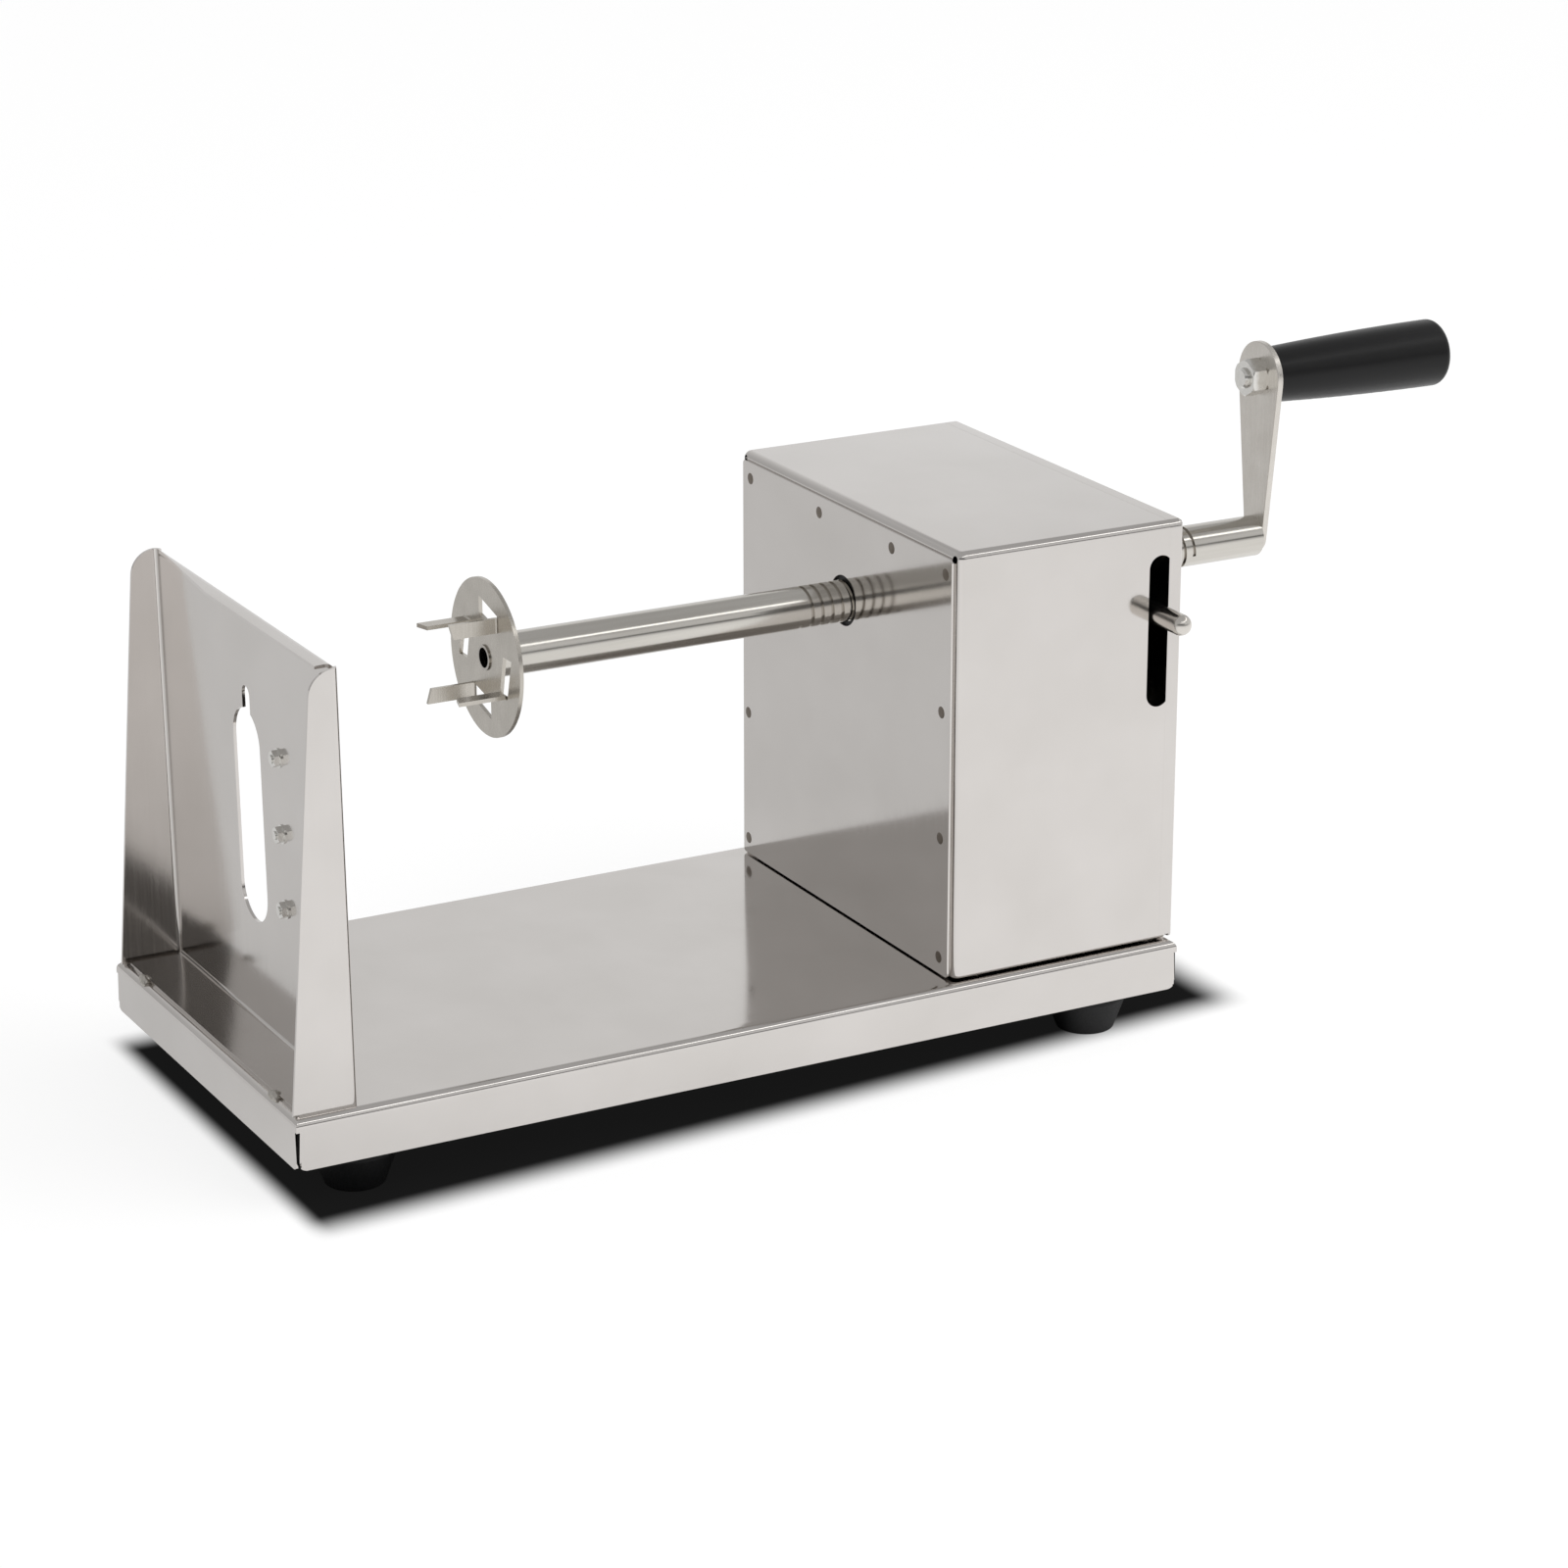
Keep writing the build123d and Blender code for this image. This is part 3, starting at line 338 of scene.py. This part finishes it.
def give(obj, material):
    """Puts one material on a whole piece."""
    obj.data.materials.clear()
    obj.data.materials.append(material)


def dressed_copy(node, body, material, edge_break):
    """A copy of a sheet or turned part, merged, with its sharp edges broken by a small bevel."""
    source = nodes[node]
    mesh = source.data.copy()
    mesh.materials.clear()
    shell = bmesh.new()
    shell.from_mesh(mesh)
    bmesh.ops.remove_doubles(shell, verts=shell.verts, dist=MERGE_DISTANCE)
    bmesh.ops.dissolve_limit(
        shell, angle_limit=FLAT_ANGLE, verts=shell.verts, edges=shell.edges
    )
    shell.to_mesh(mesh)
    shell.free()
    for layer in [a for a in mesh.attributes if a.name == "custom_normal"]:
        mesh.attributes.remove(layer)
    piece = bpy.data.objects.new(node + "_finished", mesh)
    bpy.context.scene.collection.objects.link(piece)
    for face in mesh.polygons:
        face.use_smooth = True
    mesh.set_sharp_from_angle(angle=SHARP_ANGLE)
    bevel = piece.modifiers.new("broken edges", "BEVEL")
    bevel.width = edge_break
    bevel.segments = BREAK_SEGMENTS
    bevel.limit_method = "ANGLE"
    bevel.angle_limit = BREAK_ANGLE
    bevel.harden_normals = True
    bevel.use_clamp_overlap = True
    give(piece, material)
    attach(piece, body)
    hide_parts(node)
    return piece


def surface(name, grid_points, closed_u, closed_v, material, body):
    """A mesh from a grid of points, wrapped round in either direction."""
    rows, columns, _ = grid_points.shape
    index = np.arange(rows * columns).reshape(rows, columns)
    across = np.roll(index, -1, axis=1)
    below = np.roll(index, -1, axis=0)
    corner = np.roll(across, -1, axis=0)
    keep_rows = rows if closed_u else rows - 1
    keep_columns = columns if closed_v else columns - 1
    faces = np.stack([index, across, corner, below], axis=-1)[:keep_rows, :keep_columns]
    mesh = bpy.data.meshes.new(name)
    mesh.from_pydata(grid_points.reshape(-1, 3).tolist(), [], faces.reshape(-1, 4).tolist())
    mesh.update()
    piece = bpy.data.objects.new(name, mesh)
    bpy.context.scene.collection.objects.link(piece)
    for face in mesh.polygons:
        face.use_smooth = True
    give(piece, material)
    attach(piece, body)
    return piece


# Settings that a user would change

class CutterSettings(bpy.types.PropertyGroup):
    """Sizes and roughness of the cutter's looks."""

    weld_dot_radius: FloatProperty(
        name="Spot weld radius", description="Radius of a spot weld mark", default=2.25 * MM,
        unit="LENGTH",
    )
    weld_dot_height: FloatProperty(
        name="Spot weld height", description="How far a mark stands off its plate",
        default=0.12 * MM, unit="LENGTH",
    )
    edge_break: FloatProperty(
        name="Edge break", description="Width of the broken sheet edges", default=0.25 * MM,
        unit="LENGTH",
    )
    cover_bend: FloatProperty(
        name="Cover bend", description="Outer radius of the housing cover's bends",
        default=3.0 * MM, unit="LENGTH",
    )
    seam_round: FloatProperty(
        name="Seam rounding", description="Radius that the rear seam is ground to",
        default=1.1 * MM, unit="LENGTH",
    )
    sheet_roughness: FloatProperty(
        name="Sheet roughness", description="Roughness of the polished sheet", default=0.10,
        subtype="FACTOR",
    )
    stand_roughness: FloatProperty(
        name="Stand roughness", description="Roughness of the stand's softer finish",
        default=0.125, subtype="FACTOR",
    )


class StageSettings(bpy.types.PropertyGroup):
    """The studio round the cutter."""

    floor_size: FloatProperty(
        name="Floor size", description="Side of the square floor", default=14.0, unit="LENGTH"
    )
    floor_colour: StringProperty(
        name="Floor colour", description="Colour of the floor as a hex code", default="#FEFEFE"
    )
    # The shadow settings below shape a painted contact shadow, a soft dark patch in the floor's
    # colour
    shadow_left: FloatProperty(
        name="Shadow left", description="Reach of the contact shadow past the tray's left end",
        default=-0.5 * MM, unit="LENGTH",
    )
    shadow_right: FloatProperty(
        name="Shadow right", description="Reach of the contact shadow past the tray's right end",
        default=34 * MM, unit="LENGTH",
    )
    shadow_near: FloatProperty(
        name="Shadow near", description="Reach of the shadow in front of the near left corner",
        default=15.5 * MM, unit="LENGTH",
    )
    shadow_far: FloatProperty(
        name="Shadow far", description="Reach of the contact shadow behind the tray",
        default=4 * MM, unit="LENGTH",
    )
    shadow_turn: FloatProperty(
        name="Shadow turn", description="Turn of the shadow's near edge away from the tray's",
        default=math.radians(4.1), unit="ROTATION",
    )
    shadow_blur: FloatProperty(
        name="Shadow blur", description="Width of the contact shadow's soft edges",
        default=22 * MM, unit="LENGTH",
    )
    shadow_depth: FloatProperty(
        name="Shadow depth", description="Share of the floor's colour left in the shadow",
        default=0.01, subtype="FACTOR",
    )
    lit_share: FloatProperty(
        name="Lit share", description="Share of the floor that takes real light and shadow",
        default=0.3, subtype="FACTOR",
    )
    glow_level: FloatProperty(
        name="Glow level", description="Strength of the glow that lifts the open floor to white",
        default=1.15,
    )
    front_level: FloatProperty(
        name="Front floor level", description="Glow of the mirrored floor in front",
        default=1.2,
    )
    back_level: FloatProperty(
        name="Back floor level", description="Glow of the mirrored floor at the far left",
        default=0.74,
    )
    wall_level: FloatProperty(
        name="Wall level", description="Brightness of the room near the horizon", default=0.86,
    )
    left_level: FloatProperty(
        name="Left wall", description="Share of the wall level at the far left", default=0.62,
    )
    right_level: FloatProperty(
        name="Right wall", description="Share of the wall level at the front right", default=0.85,
    )
    ceiling_level: FloatProperty(
        name="Ceiling level", description="Brightness of the room overhead", default=0.5,
    )
    window_level: FloatProperty(
        name="Window level", description="Brightness of the long high window", default=2.1,
    )
    lamp_power: FloatProperty(
        name="Lamp power", description="Power of the soft lamp", default=14.0, unit="POWER"
    )
    camera_place: FloatVectorProperty(
        name="Camera place", description="Where the camera stands",
        default=(-0.81125, -1.42905, 0.6601), subtype="XYZ",
    )
    camera_yaw: FloatProperty(
        name="Camera yaw", description="Turn from +Y towards +X",
        default=math.radians(28.60), unit="ROTATION",
    )
    camera_pitch: FloatProperty(
        name="Camera pitch", description="Angle below the horizon",
        default=math.radians(19.15), unit="ROTATION",
    )
    camera_lens: FloatProperty(
        name="Lens", description="Focal length on a 36 mm sensor, in millimetres", default=104.92
    )


class CUTTER_OT_sheet_metal(bpy.types.Operator):
    """Dresses the tray, the stand and the housing in polished sheet steel"""

    bl_idname = "cutter.sheet_metal"
    bl_label = "Sheet Metal"

    def execute(self, context):
        settings = context.scene.cutter
        along_x = (60, 0.5, 0.5)
        upright = (0.5, 0.5, 60)
        deck = polished_sheet("buffed sheet, tray", along_x, settings.sheet_roughness)
        housing = polished_sheet("buffed sheet, housing", upright, settings.sheet_roughness)
        stand = polished_sheet("buffed sheet, stand", upright, settings.stand_roughness)
        for node, material in (
            ("base_tray", deck),
            ("stand", stand),
            ("housing_cover", housing),
            ("housing_front_plate", housing),
            ("housing_rear_plate", housing),
        ):
            dressed_copy(node, FRAME_BODY, material, settings.edge_break)
        return {"FINISHED"}


class CUTTER_OT_weld_marks(bpy.types.Operator):
    """Adds the spot weld marks on both end plates and the tack welds at the stand. A mark is a low
    dome of rings round its centre, each ring lower as it widens"""

    bl_idname = "cutter.weld_marks"
    bl_label = "Weld Marks"

    def execute(self, context):
        settings = context.scene.cutter
        metal = weld_metal("spot weld", "#665E56", "#877E74")
        bead = weld_metal("tack weld", "#8C8881", "#DDD9D2")
        width = FRONT_HIGH.y - FRONT_LOW.y
        height = FRONT_HIGH.z - FRONT_LOW.z
        angle = np.linspace(0, 2 * np.pi, SPOT_SIDES + 1)[:-1]
        ring_width = np.array([0.0, 0.5, 0.82, 1.0])[:, None]
        ring_lift = np.array([1.0, 0.95, 0.7, 0.0])[:, None]
        shape = (len(ring_lift), SPOT_SIDES)
        number = 0
        for face_x, way in ((FRONT_LOW.x, -1), (REAR_HIGH.x, 1)):
            for across, up in SPOT_PLACES:
                centre = np.array([
                    face_x, FRONT_LOW.y + across * width, FRONT_LOW.z + up * height,
                ])
                radius = settings.weld_dot_radius * ring_width
                points = np.stack([
                    np.broadcast_to(way * settings.weld_dot_height * ring_lift, shape),
                    radius * np.cos(angle)[None, :],
                    radius * np.sin(angle)[None, :],
                ], axis=-1) + centre
                number += 1
                name = f"spot_weld_{number:02d}"
                surface(name, points, False, True, metal, FRAME_BODY)
        for end, centre_y in enumerate((WELDS_LOW.y + WELD_INSET, WELDS_HIGH.y - WELD_INSET)):
            piece = tack_weld(f"tack_weld_{end + 1}", centre_y, end, bead)
            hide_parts("stand_tack_welds")
        return {"FINISHED"}


def tack_weld(name, centre_y, turn, material):
    """A lumpy bead: a flattened ball, its radius swelling by two sine waves round it."""
    around = np.linspace(0, 2 * np.pi, 49)[:-1][None, :]
    up = np.linspace(-0.25 * np.pi, 0.49 * np.pi, 20)[:, None]
    lumps = 1.0
    for depth, count, twist, start, step in WELD_LUMPS:
        wave = np.sin(count * around + twist * up + start + step * turn)
        lumps = lumps + depth * wave * np.cos(up)
    half_z = WELDS_HIGH.z - WELDS_LOW.z
    points = np.stack([
        WELD_X + WELD_HALF_X * lumps * np.cos(up) * np.cos(around),
        centre_y + WELD_HALF_Y * lumps * np.cos(up) * np.sin(around),
        WELDS_LOW.z + half_z * lumps * np.sin(up),
    ], axis=-1)
    piece = surface(name, points, False, True, material, FRAME_BODY)
    shell = bmesh.new()
    shell.from_mesh(piece.data)
    bmesh.ops.holes_fill(shell, edges=[edge for edge in shell.edges if edge.is_boundary])
    bmesh.ops.recalc_face_normals(shell, faces=shell.faces)
    shell.to_mesh(piece.data)
    shell.free()
    return piece


class CUTTER_OT_rear_seam(bpy.types.Operator):
    """Adds the ground seam that rounds the housing's rear edge into its rear plate: a strip with
    one quarter-round edge, carried round the cover's outline with its four round bends"""

    bl_idname = "cutter.rear_seam"
    bl_label = "Rear Seam"

    def execute(self, context):
        settings = context.scene.cutter
        metal = polished_sheet("ground seam", (0.5, 0.5, 60), settings.sheet_roughness)
        bend = settings.cover_bend
        angle = np.linspace(0, 0.5 * np.pi, BEND_POINTS)
        quarter = np.stack([np.cos(angle), np.sin(angle)], axis=-1)
        low = np.array([COVER_LOW.y, COVER_LOW.z]) + bend
        high = np.array([COVER_HIGH.y, COVER_HIGH.z]) - bend
        turned = [quarter, quarter[:, ::-1] * (-1, 1), -quarter, quarter[:, ::-1] * (1, -1)]
        middles = [high, (low[0], high[1]), low, (high[0], low[1])]
        ways = np.concatenate(turned)
        path = np.concatenate([np.broadcast_to(middle, (BEND_POINTS, 2)) for middle in middles])
        start_x = COVER_HIGH.x - bend - SEAM_OVERLAP
        end_x = REAR_HIGH.x + SEAM_PAST_PLATE
        rounding = settings.seam_round
        arc = np.linspace(0, 0.5 * np.pi, ARC_POINTS)
        along = np.concatenate([[start_x], end_x + rounding * (np.sin(arc) - 1), [end_x, start_x]])
        depth = np.concatenate([[0], rounding * (np.cos(arc) - 1), [-2 * rounding, -2 * rounding]])
        reach = (bend + SEAM_SKIN + depth)[:, None, None]
        around = path[None] + reach * ways[None]
        x = np.broadcast_to(along[:, None, None], around.shape[:2] + (1,))
        points = np.concatenate([x, around], axis=-1)
        piece = surface("rear_seam", points, True, True, metal, FRAME_BODY)
        piece.data.set_sharp_from_angle(angle=SEAM_SHARP_ANGLE)
        return {"FINISHED"}


class CUTTER_OT_drive(bpy.types.Operator):
    """Dresses the tube, the prong disc, the crank and the lever"""

    bl_idname = "cutter.drive"
    bl_label = "Drive"

    def execute(self, context):
        settings = context.scene.cutter
        tube = turned_tube("turned tube")
        disc = satin_steel("belt ground disc", (0.4, 0.4, 12), 0.26, "#B5B0A8", "#C9C4BC")
        arm = satin_steel("belt ground arm", (0.4, 0.4, 18))
        bar = satin_steel("polished rod", (0.4, 20, 0.4), 0.22)
        sleeve = moulded("black acetal", "#0E0E0F", "#161617", 0.45, 0.4, 0.01)
        for node in ("drive_tube", "skewer_tube"):
            give(nodes[node], tube)
        dressed_copy("prong_disc", "spindle", disc, THIN_EDGE_BREAK)
        dressed_copy("crank_arm", "spindle", arm, settings.edge_break)
        for node in ("lever_arm", "lever_rod", "lever_pin", "lever_spacers", "lever_bracket",
                     "front_bearing_cup", "rear_bearing_cup"):
            give(nodes[node], bar)
        for node in ("front_sleeve", "rear_sleeve", "skewer_collar"):
            give(nodes[node], sleeve)
        return {"FINISHED"}


class CUTTER_OT_fasteners(bpy.types.Operator):
    """Dresses the screws, nuts and washers in bright zinc"""

    bl_idname = "cutter.fasteners"
    bl_label = "Fasteners"

    def execute(self, context):
        zinc = zinc_plate("bright zinc")
        for node in ("foot_washers", "foot_screws", "clinch_nuts", "blade_spacers", "blade_screws",
                     "blade_washers", "blade_nuts", "housing_washers", "housing_screws",
                     "housing_nuts", "handle_bolt", "handle_washer", "handle_nut"):
            give(nodes[node], zinc)
        return {"FINISHED"}


class CUTTER_OT_blade(bpy.types.Operator):
    """Dresses the blade in ground steel"""

    bl_idname = "cutter.blade"
    bl_label = "Blade"

    def execute(self, context):
        give(nodes["blade"], satin_steel("ground blade", (0.3, 10, 0.3), 0.24))
        return {"FINISHED"}


class CUTTER_OT_rubber_and_plastic(bpy.types.Operator):
    """Dresses the feet in rubber and the grip in satin plastic"""

    bl_idname = "cutter.rubber_and_plastic"
    bl_label = "Rubber and Plastic"

    def execute(self, context):
        rubber = moulded("moulded rubber", "#0C0C0D", "#161617", 0.6, 0.5, 0.03)
        plastic = moulded("moulded grip plastic", "#060607", "#0B0B0C", 0.34, 0.5, 0.012)
        for side in ("left_near", "left_far", "right_near", "right_far"):
            give(nodes["foot_" + side], rubber)
        give(nodes["grip"], plastic)
        return {"FINISHED"}


class CUTTER_OT_stage(bpy.types.Operator):
    """Builds the floor, the lamp, the studio's light and the camera"""

    bl_idname = "cutter.stage"
    bl_label = "Stage"

    def execute(self, context):
        settings = context.scene.cutter_stage
        scene = context.scene
        half = settings.floor_size / 2
        mesh = bpy.data.meshes.new("floor")
        mesh.from_pydata(
            [(-half, -half, 0), (half, -half, 0), (half, half, 0), (-half, half, 0)], [],
            [(0, 1, 2, 3)],
        )
        floor = bpy.data.objects.new("floor", mesh)
        scene.collection.objects.link(floor)
        give(floor, floor_paint(settings))
        studio_light(scene, settings)
        place_camera(scene, settings)
        return {"FINISHED"}


def floor_paint(settings):
    """White studio floor: a lit share that takes the object's own shadow, lifted to white by a
    glow for the eye and for mirrored rays, with a painted contact shadow, a soft dark patch
    round the tray painted into the floor's colour. The mirrored glow is darker behind the
    machine's left end than in front of its right end."""
    material, tree, shader = new_material("studio floor")
    output = next(node for node in tree.nodes if node.type == "OUTPUT_MATERIAL")
    tree.nodes.remove(shader)
    place = add(tree, "ShaderNodeTexCoord").outputs["Object"]
    # Painted contact shadow: four soft edges cut a dark patch into the floor's colour
    lean = settings.shadow_turn
    near_edge = (math.sin(lean), -math.cos(lean))
    edges = (
        ((-1, 0), (TRAY_LOW.x - settings.shadow_left, 0), PAINTED_SHADOW_LEFT_SOFTNESS),
        ((1, 0), (TRAY_HIGH.x + settings.shadow_right, 0), 1.0),
        ((0, 1), (0, TRAY_HIGH.y + settings.shadow_far), 1.0),
        (near_edge, (TRAY_LOW.x, TRAY_LOW.y - settings.shadow_near), 1.0),
    )
    inside = 1.0
    for way, through, softness in edges:
        blur = softness * settings.shadow_blur / 2
        limit = way[0] * through[0] + way[1] * through[1]
        past = along(tree, place, (*way, 0))
        share = ramp(tree, past, limit - blur, limit + blur, 1.0, 0.0, "SMOOTHSTEP")
        inside = combine(tree, "MULTIPLY", share, inside)
    open_share = ramp(tree, inside, 0.0, 1.0, 1.0, settings.shadow_depth)
    shade = add(
        tree, "ShaderNodeMix",
        {"data_type": "RGBA", 6: (0, 0, 0, 1), 7: linear(settings.floor_colour)},
        {0: open_share},
    ).outputs[2]
    paint = add(tree, "ShaderNodeBsdfDiffuse", None, {"Color": shade}).outputs[0]
    behind = along(tree, place, TOWARDS_BACK_LEFT)
    slope = ramp(tree, behind, *SLOPE_SPAN, settings.front_level, settings.back_level)
    far_front = ramp(tree, behind, *FAR_FRONT_SPAN, FAR_FRONT_SHARE, 1.0)
    level = combine(tree, "MULTIPLY", slope, far_front)
    path = add(tree, "ShaderNodeLightPath").outputs
    mirrored = combine(tree, "MULTIPLY", path["Is Glossy Ray"], level)
    direct = combine(tree, "MULTIPLY", path["Is Camera Ray"], settings.glow_level)
    strength = combine(tree, "MAXIMUM", direct, mirrored)
    glow = add(tree, "ShaderNodeEmission", None, {"Color": shade, "Strength": strength}).outputs[0]
    seen_or_mirrored = combine(tree, "MAXIMUM", path["Is Camera Ray"], path["Is Glossy Ray"])
    glow_share = combine(tree, "MULTIPLY", seen_or_mirrored, 1 - settings.lit_share)
    both = add(tree, "ShaderNodeMixShader", None, {0: glow_share, 1: paint, 2: glow})
    tree.links.new(both.outputs[0], output.inputs["Surface"])
    return material


def studio_light(scene, settings):
    """A white room with a darker ceiling, a darker left wall, the dark end where the camera
    stands, a dark gap above the floor in front and a long bright window high up over it."""
    world = bpy.data.worlds.new("studio")
    scene.world = world
    world.use_nodes = True
    tree = world.node_tree
    tree.nodes.clear()
    way = add(tree, "ShaderNodeTexCoord").outputs["Generated"]
    height = add(tree, "ShaderNodeSeparateXYZ", None, {"Vector": way}).outputs["Z"]

    def facing(direction, reach, low_out, high_out):
        """A value that changes as a ray turns towards a direction."""
        return ramp(tree, along(tree, way, direction), *reach, low_out, high_out)

    def patch(rise, fall, depth, direction, reach, level):
        """A soft-edged part of the room, between two heights and towards one direction."""
        begin = ramp(tree, height, *rise, 0.0, depth)
        end = ramp(tree, height, *fall, 1.0, 0.0)
        band = combine(tree, "MULTIPLY", begin, end)
        return combine(tree, "MULTIPLY", band, facing(direction, reach, 0.0, level))

    left = facing(TOWARDS_LEFT, SIDE_REACH, 1.0, settings.left_level)
    right = facing(TOWARDS_RIGHT, SIDE_REACH, 1.0, settings.right_level)
    sides = combine(tree, "MULTIPLY", left, right)
    walls = combine(tree, "MULTIPLY", sides, settings.wall_level)
    high_up = ramp(tree, height, *CEILING_RISE, 0.0, 1.0)
    room = add(
        tree, "ShaderNodeMix", {"data_type": "FLOAT", 3: settings.ceiling_level},
        {0: high_up, 2: walls},
    ).outputs[0]
    card = patch(CARD_RISE, CARD_FALL, DARK_DEPTH, TOWARDS_CAMERA, CARD_REACH, 1.0)
    gap = patch(GAP_RISE, GAP_FALL, DARK_DEPTH, TOWARDS_FRONT, GAP_REACH, 1.0)
    dark = combine(tree, "MAXIMUM", card, gap)
    kept = add(tree, "ShaderNodeMath", {"operation": "SUBTRACT", 0: 1.0}, {1: dark}).outputs[0]
    window = patch(
        WINDOW_RISE, WINDOW_FALL, 1.0, TOWARDS_WINDOW, WINDOW_REACH, settings.window_level
    )
    light = combine(tree, "ADD", combine(tree, "MULTIPLY", room, kept), window)
    path = add(tree, "ShaderNodeLightPath").outputs
    strength = add(
        tree, "ShaderNodeMix", {"data_type": "FLOAT", 3: 1.0},
        {0: path["Is Camera Ray"], 2: light},
    ).outputs[0]
    sky = add(tree, "ShaderNodeBackground", {"Color": (1, 1, 1, 1)}, {"Strength": strength})
    output = add(tree, "ShaderNodeOutputWorld")
    tree.links.new(sky.outputs[0], output.inputs["Surface"])

    lamp = bpy.data.lights.new("soft box", "AREA")
    lamp.shape = "SQUARE"
    lamp.size = LAMP_SIZE
    lamp.energy = settings.lamp_power
    box = bpy.data.objects.new("soft box", lamp)
    scene.collection.objects.link(box)
    box.location = LAMP_PLACE
    box.rotation_euler = (-LAMP_PLACE).to_track_quat("-Z", "Y").to_euler()
    box.visible_glossy = False


def place_camera(scene, settings):
    """A camera at the photograph's place, angle and lens."""
    yaw = settings.camera_yaw
    pitch = settings.camera_pitch
    ahead = Vector((
        math.sin(yaw) * math.cos(pitch), math.cos(yaw) * math.cos(pitch), -math.sin(pitch),
    ))
    right = Vector((math.cos(yaw), -math.sin(yaw), 0.0))
    up = right.cross(ahead)
    turn = Matrix((right, up, -ahead)).transposed().to_4x4()
    lens = bpy.data.cameras.new("photo view")
    lens.sensor_fit = "HORIZONTAL"
    lens.sensor_width = SENSOR_WIDTH
    lens.lens = settings.camera_lens
    lens.clip_end = CLIP_END
    camera = bpy.data.objects.new("photo view", lens)
    scene.collection.objects.link(camera)
    camera.matrix_world = Matrix.Translation(settings.camera_place) @ turn
    scene.camera = camera
    scene.view_settings.view_transform = "Standard"


class CUTTER_PT_panel(bpy.types.Panel):
    """Shows the cutter's and the stage's settings and the buttons that run the steps"""

    bl_idname = "CUTTER_PT_panel"
    bl_label = "Potato Cutter"
    bl_space_type = "VIEW_3D"
    bl_region_type = "UI"
    bl_category = "Cutter"

    def draw(self, context):
        for group in (context.scene.cutter, context.scene.cutter_stage):
            for name in group.__annotations__:
                self.layout.prop(group, name)
        for operator in OPERATORS:
            self.layout.operator(operator.bl_idname)


OPERATORS = (
    CUTTER_OT_sheet_metal,
    CUTTER_OT_weld_marks,
    CUTTER_OT_rear_seam,
    CUTTER_OT_drive,
    CUTTER_OT_fasteners,
    CUTTER_OT_blade,
    CUTTER_OT_rubber_and_plastic,
    CUTTER_OT_stage,
)
CLASSES = (CutterSettings, StageSettings, *OPERATORS, CUTTER_PT_panel)


def register():
    """Makes the settings, operators and panel known."""
    for cls in CLASSES:
        bpy.utils.register_class(cls)
    bpy.types.Scene.cutter = PointerProperty(type=CutterSettings)
    bpy.types.Scene.cutter_stage = PointerProperty(type=StageSettings)


def unregister():
    """Takes them away again."""
    del bpy.types.Scene.cutter_stage
    del bpy.types.Scene.cutter
    for cls in reversed(CLASSES):
        bpy.utils.unregister_class(cls)


def main():
    """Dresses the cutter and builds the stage."""
    register()
    for operator in OPERATORS:
        group, name = operator.bl_idname.split(".")
        getattr(getattr(bpy.ops, group), name)()


if __name__ == "__main__":
    main()
